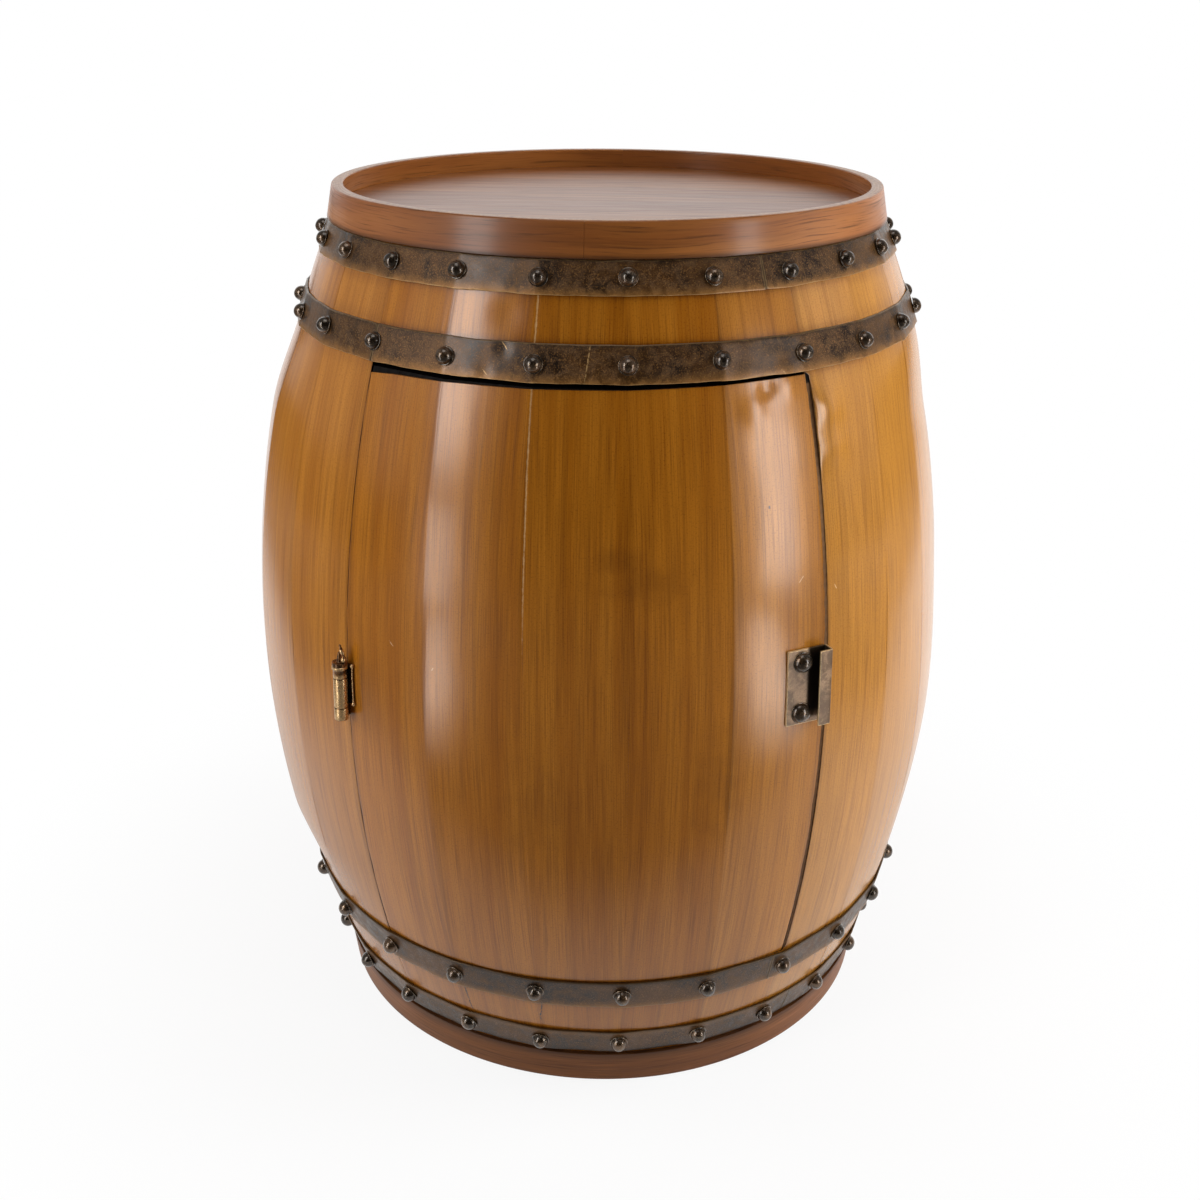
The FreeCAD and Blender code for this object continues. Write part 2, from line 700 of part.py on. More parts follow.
def hinge_leaf(hand, near, far, knuckles):
    """Leaf plate, its knuckles and the tabs that join them, bored for the pin and the screws."""
    pieces = [block(f"{hand}_plate", (near, far), ("-leaf_start", "-leaf_end"),
                    ("hinge_low", "hinge_high"))]
    for index, (low, high) in enumerate(knuckles):
        pieces.append(cylinder(f"{hand}_knuckle_{index}", "hinge_knuckle_diameter / 2",
                               f"{high} - ({low})", x="pin_across", y="-pin_out", z=low))
        pieces.append(block(f"{hand}_tab_{index}", (near, far), ("-pin_out", "-leaf_start"),
                            (low, high)))
    bore = cylinder(f"{hand}_bore", "hinge_pin_diameter / 2 + hinge_pin_clearance",
                    "hinge_height + 2 * overrun", x="pin_across", y="-pin_out",
                    z="hinge_low - overrun")
    solid = combine("MultiFuse", f"{hand}_leaf_solid", *pieces)
    bored = combine("Cut", f"{hand}_leaf_bored", solid, bore)
    holes = hinge_screws(f"{hand}_leaf_holes", hand, True)
    label = f"hinge_{hand}_leaf"
    keep(combine("Cut", f"{label}_drilled", bored, holes), label, "-door_half_angle")


hinge_leaf("frame", "frame_leaf_far", "0",
           [("hinge_low", "middle_knuckle_low - hinge_axial_gap"),
            ("middle_knuckle_high + hinge_axial_gap", "hinge_high")])
hinge_leaf("door", "door_leaf_near", "door_leaf_far",
           [("middle_knuckle_low", "middle_knuckle_high")])
collar_low = "hinge_high + glue_gap"
tip_low = f"{collar_low} + hinge_collar_height"
pin = turned("pin", [("0", "hinge_low"), ("hinge_pin_diameter / 2", "hinge_low"),
                     ("hinge_pin_diameter / 2", collar_low),
                     ("hinge_collar_diameter / 2", collar_low),
                     ("hinge_collar_diameter / 2", tip_low), ("hinge_pin_diameter / 2", tip_low),
                     ("hinge_tip_diameter / 2", f"{tip_low} + hinge_tip_height"),
                     ("0", f"{tip_low} + hinge_tip_height")])
pose(pin, x="pin_across", y="-pin_out")
keep(group("pin_placed", [pin]), "hinge_pin", "-door_half_angle")
leaf_screws = pose(hinge_screws("frame_screws", "frame", False), turn="-door_half_angle")
keep(group("cabinet_screws_together", [leaf_screws, catch_screws("catch_screws", False)]),
     "cabinet_screws")

# Upright wooden strips behind the staves: jambs on the cabinet, stiles on the door
frame_drum = drum("frame_drum", "inner_skin", "frame_face")


def upright(label, side, gap, low, high, place, holes=None):
    """Strip bent as the staves are, one side face along the seam, in its facet's own frame."""
    strip = seam_strip(f"{label}_strip", side, gap, "stile_width", low, high)
    piece = combine("Common", f"{label}_bent", frame_drum, strip)
    if holes is not None:
        piece = combine("Cut", f"{label}_drilled", piece, holes)
    keep(piece, label, f"{place} * facet_angle")


facet_beyond = half_door + 1
upright("hinge_jamb", "right", "hinge_leaf_thickness + glue_gap", "jamb_low", "jamb_high",
        -facet_beyond, pose(hinge_screws("jamb_holes", "frame", True), turn="half_facet"))
upright("latch_jamb", "left", "seam_gap / 2", "jamb_low", "jamb_high", facet_beyond)

# Pull handle: sheet bent twice, a plate on the door, a leg out at the door's edge and a flange
# back over the plate. Rivets through the plate hold it to the door's last stave and its stile.
work_out("pull_right", "face_belly * tan(half_facet) - door_latch_gap / cos(half_facet)"
                       " - pull_edge_inset")
work_out("pull_back", "-face_belly - glue_gap")
work_out("pull_front", "pull_back - pull_sheet")
work_out("pull_outside", "pull_back - pull_reach")
work_out("pull_inside", "pull_outside + pull_sheet")


def pull_rivets(name, pilot):
    """Round-headed nails through the plate, square to it, or the holes that they pass."""
    rivets = []
    for level in (-1, 1):
        if pilot:
            outline, dome = nail_pilot, None
        else:
            outline = nail_head[:nail_dome - 1] + [("0", "pull_rivet_diameter / 2"),
                                                   ("nail_head_edge", "pull_rivet_diameter / 2"),
                                                   ("pull_rivet_height", "0")]
            dome = nail_dome
        rivet = turned(f"{name}_{level + 1}", outline, "H_Axis", dome)
        rivets.append(pose(rivet, x="pull_right - pull_rivet_inset",
                           y="pull_front - hoop_clearance",
                           z=f"pull_middle + {level} * pull_rivet_spacing / 2", turn="-90"))
    return group(name, rivets)


rivet_holes = pull_rivets("rivet_holes", True)
pull_edge = "pull_right - pull_sheet"
pull_body = doc.addObject("PartDesign::Body", "pull_body")
pull_outline = sketch_profile(pull_body, "pull_outline", [
    ("pull_right - pull_plate_width", "pull_back"), ("pull_right", "pull_back"),
    ("pull_right", "pull_outside"), ("pull_right - pull_flange", "pull_outside"),
    ("pull_right - pull_flange", "pull_inside"), (pull_edge, "pull_inside"),
    (pull_edge, "pull_front"), ("pull_right - pull_plate_width", "pull_front")], role="XY_Plane")
pull_pad = pull_body.newObject("PartDesign::Pad", "pull_pad")
pull_pad.Profile = pull_outline
bind(pull_pad, Length="pull_height")
pose(pull_body, z="pull_low")
pull_pad.recompute(True)
bends = []
for index, edge in enumerate(pull_pad.Shape.Edges, start=1):
    box = edge.BoundBox
    upright_edge = box.ZLength > number("pull_height") / 2
    at_right = abs(box.XMax - number("pull_right")) < number("glue_gap")
    if upright_edge and at_right:
        bends.append(f"Edge{index}")
pull_bend = pull_body.newObject("PartDesign::Fillet", "pull_bend")
pull_bend.Base = (pull_pad, bends)
bind(pull_bend, Radius="pull_sheet")
keep(combine("Cut", "pull_handle_drilled", pull_body, rivet_holes), "pull_handle",
     f"{half_door} * facet_angle")
keep(pull_rivets("pull_rivet_pair", False), "pull_rivets", f"{half_door} * facet_angle")

# Door: a skin of short staves with a running gap at either side, on a frame of two stiles and two
# rails. The stave at the hinge is notched for the middle knuckle.
knuckle_notch = block("knuckle_notch", ("-shell_core", "hinge_notch_depth"),
                      ("-shell_reach", "-shell_core"),
                      ("middle_knuckle_low - frame_clearance",
                       "middle_knuckle_high + frame_clearance"))
pose(knuckle_notch, turn="-half_facet")
for place in range(-half_door, half_door + 1):
    left = "door_hinge_gap" if place == -half_door else "seam_gap / 2"
    right = "door_latch_gap" if place == half_door else "seam_gap / 2"
    label = f"door_stave_{place + half_door + 1}"
    wedge = pie(f"{label}_wedge", "half_facet", left, right, "door_low", "door_high")
    stave = combine("Common", f"{label}_bent", stave_drum, wedge)
    if place == -half_door:
        stave = combine("Cut", f"{label}_notched", stave, knuckle_notch)
    if place == half_door:
        stave = combine("Cut", f"{label}_drilled", stave, rivet_holes)
    keep(stave, label, f"{place} * facet_angle")

upright("hinge_stile", "left", "door_leaf_far + glue_gap", "door_frame_low", "door_frame_high",
        -half_door, pose(hinge_screws("stile_holes", "door", True), turn="-half_facet"))
upright("latch_stile", "right", "door_latch_gap", "door_frame_low", "door_frame_high",
        half_door, rivet_holes)


def rail(label, low, high, narrow_end, holes=None):
    """Curved rail between the stiles: many-sided outside, with an upright inner face that is as
    far in at the rail's narrower end as the stiles are."""
    outside = prism(f"{label}_outside", low, high, "inner_skin")
    inside = prism(f"{label}_inside", f"{low} - overrun", f"{high} + overrun", "frame_face",
                   narrow_end)
    ring = combine("Cut", f"{label}_ring", outside, inside)
    reach = pie(f"{label}_reach", "door_half_angle",
                "door_leaf_far + glue_gap + stile_width + frame_clearance",
                "door_latch_gap + stile_width + frame_clearance", low, high)
    piece = combine("Common", f"{label}_sector", ring, reach)
    if holes is not None:
        piece = combine("Cut", f"{label}_drilled", piece, holes)
    keep(piece, label)


def strike_screw(name, pilot):
    screw = wood_screw(name, "small", pilot)
    pose(screw, y="strike_thickness - strike_seat", z="(magnet_low + magnet_high) / 2", roll="90")
    return pose(group(f"{name}_turned", [screw]), turn="facet_angle")


strike_hole = strike_screw("strike_hole", True)
rail("door_top_rail", "door_frame_high - rail_height", "door_frame_high", "door_frame_high",
     strike_hole)
rail("door_bottom_rail", "door_frame_low", "door_frame_low + rail_height", "door_frame_low")
strike = block("strike", ("-strike_width / 2", "strike_width / 2"),
               ("-strike_seat", "strike_thickness - strike_seat"), ("magnet_low", "magnet_high"))
pose(strike, turn="facet_angle")
keep(combine("Cut", "strike_drilled", strike, strike_hole), "strike_plate")
leaf_screws = pose(hinge_screws("door_leaf_screws", "door", False), turn="-door_half_angle")
keep(group("door_screws_together", [leaf_screws, strike_screw("strike_fixing", False)]),
     "door_screws")

doc.recompute()
for thing in doc.Objects:
    if "Invalid" in thing.State or "Error" in thing.State:
        raise RuntimeError(f"{thing.Label} did not build: {thing.State}")

os.makedirs("parts", exist_ok=True)
for thing in sub_parts:
    shape = thing.Shape
    if shape.isNull() or not shape.isValid() or not shape.Solids:
        raise RuntimeError(f"{thing.Label} has no sound solid")
    shape.exportStep(f"parts/{thing.Label}.step")
    print(f"{thing.Label}: {len(shape.Solids)} solids, {shape.Volume / 1000:.2f} cm3")
print(len(sub_parts), "sub-parts")
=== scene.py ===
import math
import bmesh
import bpy
import numpy as np
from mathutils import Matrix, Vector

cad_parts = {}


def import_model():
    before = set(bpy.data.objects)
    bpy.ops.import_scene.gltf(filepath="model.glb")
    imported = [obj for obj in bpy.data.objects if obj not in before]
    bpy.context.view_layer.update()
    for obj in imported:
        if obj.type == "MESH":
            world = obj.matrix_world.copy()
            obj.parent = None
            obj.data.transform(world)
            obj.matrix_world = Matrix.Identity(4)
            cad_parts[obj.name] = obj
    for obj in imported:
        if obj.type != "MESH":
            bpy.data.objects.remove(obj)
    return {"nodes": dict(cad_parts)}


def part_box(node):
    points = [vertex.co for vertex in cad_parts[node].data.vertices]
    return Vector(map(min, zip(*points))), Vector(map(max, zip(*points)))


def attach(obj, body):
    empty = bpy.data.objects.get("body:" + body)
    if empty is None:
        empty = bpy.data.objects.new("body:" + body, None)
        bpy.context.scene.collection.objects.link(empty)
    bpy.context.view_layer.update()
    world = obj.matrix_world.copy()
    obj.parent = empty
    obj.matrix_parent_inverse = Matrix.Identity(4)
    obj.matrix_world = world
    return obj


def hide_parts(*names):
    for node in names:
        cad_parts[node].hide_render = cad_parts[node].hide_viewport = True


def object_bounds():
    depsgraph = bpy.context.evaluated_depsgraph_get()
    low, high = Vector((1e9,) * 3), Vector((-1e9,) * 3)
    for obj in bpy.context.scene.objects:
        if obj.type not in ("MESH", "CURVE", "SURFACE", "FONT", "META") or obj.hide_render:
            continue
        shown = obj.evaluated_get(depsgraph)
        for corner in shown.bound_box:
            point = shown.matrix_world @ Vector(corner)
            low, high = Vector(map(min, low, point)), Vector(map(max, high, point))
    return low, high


# Barrel side table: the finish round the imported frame. Metres, +Z up, the door faces -Y.
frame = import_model()
cadBox = [list(corner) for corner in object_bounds()]
print("frame loaded:", len(frame["nodes"]), "nodes")


# Mesh tools

def nodePoints(name):
    # the vertices of a CAD node as rows of x, y, z
    vertices = frame["nodes"][name].data.vertices
    points = np.empty(len(vertices) * 3)
    vertices.foreach_get("co", points)
    return points.reshape(-1, 3)


def turnRound(angle, radius, across, height):
    # a point at a radius from the axis on the side that angle names (zero faces -Y, plus is towards
    # +X), moved sideways by across: x = r sin a + u cos a, y = u sin a - r cos a
    x = radius * np.sin(angle) + across * np.cos(angle)
    y = across * np.sin(angle) - radius * np.cos(angle)
    return np.stack(np.broadcast_arrays(x, y, height), -1)


def ripple(x, y, seed, length, height):
    # smooth unevenness: sine waves with seeded directions, lengths and phases, added up:
    # height * sum of sin(k (x cos h + y sin h) + p) / root of their number
    waves = 7
    draw = np.random.default_rng(seed)
    heading = draw.uniform(0, 2 * math.pi, waves)
    number = 2 * math.pi / (length * draw.uniform(0.6, 1.7, waves))
    phase = draw.uniform(0, 2 * math.pi, waves)
    along = np.asarray(x)[..., None] * np.cos(heading) + np.asarray(y)[..., None] * np.sin(heading)
    return height * np.sin(along * number + phase).sum(-1) / math.sqrt(waves)


def makePiece(name, points, faces, body, material, replaced, uv, values, smooth=40):
    # a mesh object at the origin, smooth up to an angle, riding on its body
    mesh = bpy.data.meshes.new(name)
    mesh.from_pydata(points.reshape(-1, 3).tolist(), [], faces)
    corners = np.empty(len(mesh.loops), dtype=np.int32)
    mesh.loops.foreach_get("vertex_index", corners)
    if uv is not None:
        layer = mesh.uv_layers.new(name="along")
        layer.data.foreach_set("uv", uv.reshape(-1, 2)[corners].ravel())
    for key, value in values.items():
        attribute = mesh.attributes.new(key, "FLOAT", "POINT")
        attribute.data.foreach_set("value", np.asarray(value, dtype=np.float32).ravel())
    mesh.validate()
    mesh.shade_smooth()
    mesh.set_sharp_from_angle(angle=math.radians(smooth))
    mesh.materials.append(material)
    piece = bpy.data.objects.new(name, mesh)
    bpy.context.scene.collection.objects.link(piece)
    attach(piece, body)
    if replaced:
        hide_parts(*replaced)


def tubeFaces(sections, around):
    # quads of a closed outline carried through its sections, and a strip of quads over each end,
    # which joins the outline's first half to its second
    index = np.arange(sections * around).reshape(sections, around)
    beside = np.roll(index, -1, axis=1)
    sides = np.stack([index[:-1], beside[:-1], beside[1:], index[1:]], -1).reshape(-1, 4)
    half = around // 2
    left, right = index[:, :half], index[:, ::-1][:, :half]
    start = np.stack([left[0, :-1], right[0, :-1], right[0, 1:], left[0, 1:]], -1)
    finish = np.stack([left[-1, 1:], right[-1, 1:], right[-1, :-1], left[-1, :-1]], -1)
    return np.concatenate([sides, start, finish])


def tubePiece(name, parts, body, material, replaced, flipped=False):
    # one object from several tubes: each part holds its grid of points, its uv and its values. Sections
    # that follow each other round the axis, and not upwards, have their quads flipped
    grids, flats, values = zip(*parts)
    faces, first = [], 0
    for grid in grids:
        quads = first + tubeFaces(*grid.shape[:2])
        faces.append(quads[:, ::-1] if flipped else quads)
        first += grid.shape[0] * grid.shape[1]
    points = np.concatenate([grid.reshape(-1, 3) for grid in grids])
    uv = np.concatenate([flat.reshape(-1, 2) for flat in flats])
    joined = {key: np.concatenate([value[key].ravel() for value in values]) for key in values[0]}
    makePiece(name, points, np.concatenate(faces).tolist(), body, material, replaced, uv, joined)


def latheFaces(rings, around, copies=1):
    # quads between the rings of a turned shape and a fan of one face over each end, for each copy
    index = np.arange(rings * around).reshape(rings, around)
    beside = np.roll(index, -1, axis=1)
    sides = np.stack([index[:-1], beside[:-1], beside[1:], index[1:]], -1).reshape(-1, 4)
    shift = (np.arange(copies) * rings * around)[:, None, None]
    quads = (sides[None] + shift).reshape(-1, 4).tolist()
    bottom = (index[0, ::-1][None] + shift[:, 0]).tolist()
    top = (index[-1][None] + shift[:, 0]).tolist()
    return quads + bottom + top


# Material tools

def addNode(tree, kind, inputs=None, **settings):
    node = tree.nodes.new(kind)
    for key, value in settings.items():
        setattr(node, key, value)
    for key, value in (inputs or {}).items():
        if isinstance(value, bpy.types.NodeSocket):
            tree.links.new(value, node.inputs[key])
        else:
            node.inputs[key].default_value = value
    return node


def link(tree, result, socket):
    tree.links.new(result, socket)


def sums(tree, operation, first, second=0.5, clamp=False):
    inputs = {0: first, 1: second}
    return addNode(tree, "ShaderNodeMath", inputs, operation=operation, use_clamp=clamp).outputs[0]


def times(tree, first, second, clamp=False):
    return sums(tree, "MULTIPLY", first, second, clamp)


def spread(tree, value, low, high, start=0.0, end=1.0):
    inputs = {"Value": value, "From Min": low, "From Max": high, "To Min": start, "To Max": end}
    return addNode(tree, "ShaderNodeMapRange", inputs, interpolation_type="SMOOTHSTEP").outputs[0]


def tint(tree, factor, first, second):
    return addNode(tree, "ShaderNodeMix", {0: factor, 6: first, 7: second}, data_type="RGBA").outputs[2]


def noise(tree, vector, scale, detail, rough=0.55, distortion=0.0):
    inputs = {"Vector": vector, "Scale": scale, "Detail": detail, "Roughness": rough,
              "Distortion": distortion}
    return addNode(tree, "ShaderNodeTexNoise", inputs).outputs["Fac"]


def wavering(tree, vector, scale, detail):
    # noise that runs evenly to both sides of zero
    return sums(tree, "SUBTRACT", noise(tree, vector, scale, detail), 0.5)


def axes(tree, vector):
    return addNode(tree, "ShaderNodeSeparateXYZ", {0: vector}).outputs


def pointFrom(tree, x, y, z):
    return addNode(tree, "ShaderNodeCombineXYZ", {0: x, 1: y, 2: z}).outputs[0]


def lengthOf(tree, vector):
    return addNode(tree, "ShaderNodeVectorMath", {0: vector}, operation="LENGTH").outputs["Value"]


def stretched(tree, vector, scale):
    return addNode(tree, "ShaderNodeMapping", {"Vector": vector, "Scale": scale}).outputs[0]


def attributeValue(tree, name):
    return addNode(tree, "ShaderNodeAttribute", attribute_name=name).outputs["Fac"]


def coordinates(tree, kind="Object"):
    return addNode(tree, "ShaderNodeTexCoord").outputs[kind]


def bump(tree, height, strength, distance):
    inputs = {"Height": height, "Strength": strength, "Distance": distance}
    return addNode(tree, "ShaderNodeBump", inputs).outputs[0]


def colour(red, green, blue):
    # a linear colour from the tones that a screen shows, 0 to 255
    tones = np.array([red, green, blue]) / 255
    linear = np.where(tones <= 0.04045, tones / 12.92, ((tones + 0.055) / 1.055) ** 2.4)
    return (*linear.tolist(), 1.0)


def newGroup(name, inputs, outputs):
    tree = bpy.data.node_groups.new(name, "ShaderNodeTree")
    kinds = {"vector": "NodeSocketVector", "value": "NodeSocketFloat"}
    for label, kind, default in inputs:
        socket = tree.interface.new_socket(name=label, in_out="INPUT", socket_type=kinds[kind])
        if default is not None:
            socket.default_value = default
    for label in outputs:
        tree.interface.new_socket(name=label, in_out="OUTPUT", socket_type=kinds["value"])
    inside = tree.nodes.new("NodeGroupInput")
    outside = tree.nodes.new("NodeGroupOutput")
    return tree, inside.outputs, outside.inputs


def useGroup(tree, group, inputs):
    return addNode(tree, "ShaderNodeGroup", inputs, node_tree=group).outputs


# Grain: each layer has its scale across and along, as shares of the finest one, and its detail
grainLook = {
    "bendScale": 9.0,
    "bendDetail": 1.0,
    "rough": 0.6,
    "layers": {"Strokes": (1.0, 1.0, 4.0), "Streaks": (0.16, 0.22, 3.0), "Patches": (0.03, 0.12, 2.0)},
}


def buildStreakGroup():
    # grain that runs along the vector's second axis: fine strokes, wider streaks and slow patches
    look = grainLook
    tree, given, made = newGroup(
        "grainStreaks",
        [("Vector", "vector", None), ("Fine", "value", 800.0), ("Length", "value", 0.045),
         ("Wander", "value", 0.004)],
        look["layers"])
    parts = axes(tree, given["Vector"])
    bend = wavering(tree, given["Vector"], look["bendScale"], look["bendDetail"])
    side = sums(tree, "ADD", parts[0], times(tree, bend, given["Wander"]))
    for label, (widthShare, lengthShare, detail) in look["layers"].items():
        across = times(tree, side, times(tree, given["Fine"], widthShare))
        stretch = times(tree, times(tree, given["Fine"], given["Length"]), lengthShare)
        place = pointFrom(tree, across, times(tree, parts[1], stretch), parts[2])
        link(tree, noise(tree, place, 1.0, detail, look["rough"]), made[label])
    return tree


# Sponged patina: detail, roughness and distortion of each noise
mottleLook = {
    "clouds": (3.0, 0.6, 0.6),
    "blotches": (4.0, 0.65, 0.4),
    "blotchScale": 6.5,
    "speckle": (2.0, 0.6),
    "speckleLevels": (0.5, 0.72),
}


def buildMottleGroup():
    # large clouds, smaller blotches and a fine speckle
    look = mottleLook
    tree, given, made = newGroup(
        "spongedPatina",
        [("Vector", "vector", None), ("Clouds", "value", 30.0), ("Speckle", "value", 900.0)],
        ["Clouds", "Blotches", "Speckle"])
    blotchScale = times(tree, given["Clouds"], look["blotchScale"])
    speckle = noise(tree, given["Vector"], given["Speckle"], *look["speckle"])
    link(tree, noise(tree, given["Vector"], given["Clouds"], *look["clouds"]), made["Clouds"])
    link(tree, noise(tree, given["Vector"], blotchScale, *look["blotches"]), made["Blotches"])
    link(tree, spread(tree, speckle, *look["speckleLevels"]), made["Speckle"])
    return tree


# Rubbed edges: noise that breaks them up, and the levels between which the cover is gone
wearLook = {
    "noise": (4.0, 0.7),
    "noiseBase": 0.35,
    "levels": (0.75, 1.15),
}


def buildWearGroup():
    # an edge value, broken up by noise, becomes a mask
    look = wearLook
    tree, given, made = newGroup(
        "rubbedEdges",
        [("Vector", "vector", None), ("Edge", "value", 0.0), ("Break", "value", 260.0),
         ("Amount", "value", 0.5)],
        ["Mask"])
    broken = noise(tree, given["Vector"], given["Break"], *look["noise"])
    level = times(tree, given["Edge"], sums(tree, "ADD", broken, look["noiseBase"]))
    reached = sums(tree, "ADD", level, given["Amount"])
    link(tree, spread(tree, reached, *look["levels"]), made["Mask"])
    return tree


streakGroup = buildStreakGroup()
mottleGroup = buildMottleGroup()
wearGroup = buildWearGroup()


def newMaterial(name, plain):
    material = bpy.data.materials.new(name)
    material.use_nodes = True
    tree = material.node_tree
    shader = tree.nodes["Principled BSDF"]
    for key, value in plain.items():
        shader.inputs[key].default_value = value
    return material, tree, shader.inputs


def layered(tree, shade, sources, layers, look):
    # each layer lays its colour over the shade, by its share where its source has passed from low to high
    for source, low, high, share, paint in layers:
        mask = spread(tree, sources[source], low, high)
        shade = tint(tree, times(tree, mask, share), shade, look[paint])
    return shade


def rubbed(tree, place, shade, look, paint):
    # the edges, rubbed through to a brighter colour
    edge = useGroup(tree, wearGroup, {"Vector": place, "Edge": attributeValue(tree, "edge"), **look["wear"]})
    return tint(tree, times(tree, edge["Mask"], look["wearShare"]), shade, look[paint])


def paintShadeDirt(tree, shade, share, paint):
    # painted shade, and some dirt, where the mesh marks it: in corners, gaps and recesses between parts
    return tint(tree, times(tree, attributeValue(tree, "grime"), share, clamp=True), shade, paint)


def glossOf(tree, mask, look):
    # the roughness between the look's two values, over the middle of the mask's noise
    low, high = 0.3, 0.7
    return spread(tree, mask, low, high, *look["roughness"])


def connect(tree, shader, shade, gloss, height, look):
    link(tree, shade, shader["Base Color"])
    link(tree, gloss, shader["Roughness"])
    link(tree, bump(tree, height, *look["bump"]), shader["Normal"])


# Scratches and smudges: how ragged and how soft they are
markLook = {
    "jagNoise": (240.0, 3.0),
    "breakNoise": (420.0, 2.0),
    "breakLevels": (0.36, 0.52),
    "lineCore": 0.3,
    "endCore": 0.7,
    "smudgeNoise": (60.0, 3.0),
    "smudgeRagged": 2.2,
    "smudgeLevels": (1.2, 0.1),
}


def scratch(tree, place, look):
    # a mask for a thin leaning line: near in u along the lean, and within its half length in v
    parts = axes(tree, place)
    above = sums(tree, "SUBTRACT", parts[1], look["height"])
    lean = times(tree, above, look["lean"])
    jagged = times(tree, wavering(tree, place, *markLook["jagNoise"]), look["jag"])
    beside = sums(tree, "SUBTRACT", parts[0], look["along"])
    aside = sums(tree, "ADD", beside, sums(tree, "ADD", lean, jagged))
    near = spread(tree, sums(tree, "ABSOLUTE", aside), look["width"], look["width"] * markLook["lineCore"])
    within = spread(tree, sums(tree, "ABSOLUTE", above), look["reach"], look["reach"] * markLook["endCore"])
    broken = spread(tree, noise(tree, place, *markLook["breakNoise"]), *markLook["breakLevels"])
    return times(tree, times(tree, near, within), broken)


def smudge(tree, place, look):
    # a soft dark patch: one at its middle, and none where it meets its half width and half height
    middle = (look["along"], look["height"], 0.0)
    moved = addNode(tree, "ShaderNodeVectorMath", {0: place, 1: middle}, operation="SUBTRACT").outputs[0]
    away = lengthOf(tree, stretched(tree, moved, (1 / look["wide"], 1 / look["tall"], 0.0)))
    ragged = times(tree, wavering(tree, place, *markLook["smudgeNoise"]), markLook["smudgeRagged"])
    uneven = sums(tree, "ADD", away, ragged)
    return times(tree, spread(tree, uneven, *markLook["smudgeLevels"]), look["depth"])


# Staves: lacquered sheet with a brushed, wood-toned glaze. A layer is a source, the levels between
# which it comes in, its share and its colour
glaze = {
    "light": colour(208, 134, 38),
    "middle": colour(164, 94, 12),
    "dark": colour(92, 46, 6),
    "yellow": colour(206, 150, 64),
    "crack": colour(60, 30, 6),
    "bareEdge": colour(226, 184, 126),
    "inside": colour(84, 62, 42),
    "plain": {"Metallic": 0.06, "Specular IOR Level": 0.5, "Specular Tint": (1.0, 0.98, 0.93, 1.0),
              "IOR": 1.5, "Coat Weight": 0.4, "Coat Roughness": 0.12, "Coat IOR": 1.5},
    "grain": {"Fine": 1800.0, "Length": 0.010, "Wander": 0.0012},
    "patches": (0.32, 0.68, 0.1, 0.6),
    "yellowShare": 0.7,
    "toothNoise": (850.0, 3.0, 0.7),
    "layers": [("Streaks", 0.46, 0.76, 0.36, "dark"), ("Strokes", 0.46, 0.68, 0.45, "dark"),
               ("Strokes", 0.46, 0.28, 0.45, "light"), ("tooth", 0.50, 0.72, 0.45, "dark")],
    "fleckStretch": (160.0, 110.0, 1.0),
    "fleckDetail": 3.0,
    "fleckLayers": [("fleck", 0.78, 0.82, 0.7, "crack")],
    "shadeDirtBase": 0.25,
    "shadeDirtShare": 0.9,
    "seamLevels": (0.30, 0.62),
    "seamShare": 0.55,
    "wear": {"Break": 240.0, "Amount": 0.26},
    "wearShare": 0.65,
    "roughness": (0.20, 0.27),
    "insideRoughness": 0.62,
    "streakRelief": 1.5,
    "bump": (0.10, 0.0003),
    "smudges": [
        {"along": 0.0440, "height": 0.3930, "wide": 0.0340, "tall": 0.0150, "depth": 0.24},
        {"along": 0.0250, "height": 0.4080, "wide": 0.0180, "tall": 0.0100, "depth": 0.22},
        {"along": 0.0900, "height": 0.2500, "wide": 0.0200, "tall": 0.0400, "depth": 0.16},
        {"along": -0.0200, "height": 0.2350, "wide": 0.0300, "tall": 0.0400, "depth": 0.14},
    ],
    "scratches": [
        {"along": 0.1497, "height": 0.3843, "lean": -0.8, "jag": 0.0015, "width": 0.0006, "reach": 0.0022},
        {"along": -0.1268, "height": 0.3368, "lean": 0.9, "jag": 0.0015, "width": 0.0006, "reach": 0.0018},
        {"along": -0.0948, "height": 0.3262, "lean": -0.6, "jag": 0.0015, "width": 0.0006, "reach": 0.0018},
        {"along": 0.1789, "height": 0.3739, "lean": 0.5, "jag": 0.0015, "width": 0.0006, "reach": 0.0022},
    ],
    "cracks": [
        {"along": -0.0915, "height": 0.0625, "lean": 0.12, "jag": 0.0025, "width": 0.0008, "reach": 0.016},
        {"along": -0.0262, "height": 0.0680, "lean": -0.1, "jag": 0.0015, "width": 0.0007, "reach": 0.017},
        {"along": 0.1284, "height": 0.4335, "lean": 0.0, "jag": 0.0, "width": 0.0011, "reach": 0.0011},
    ],
}


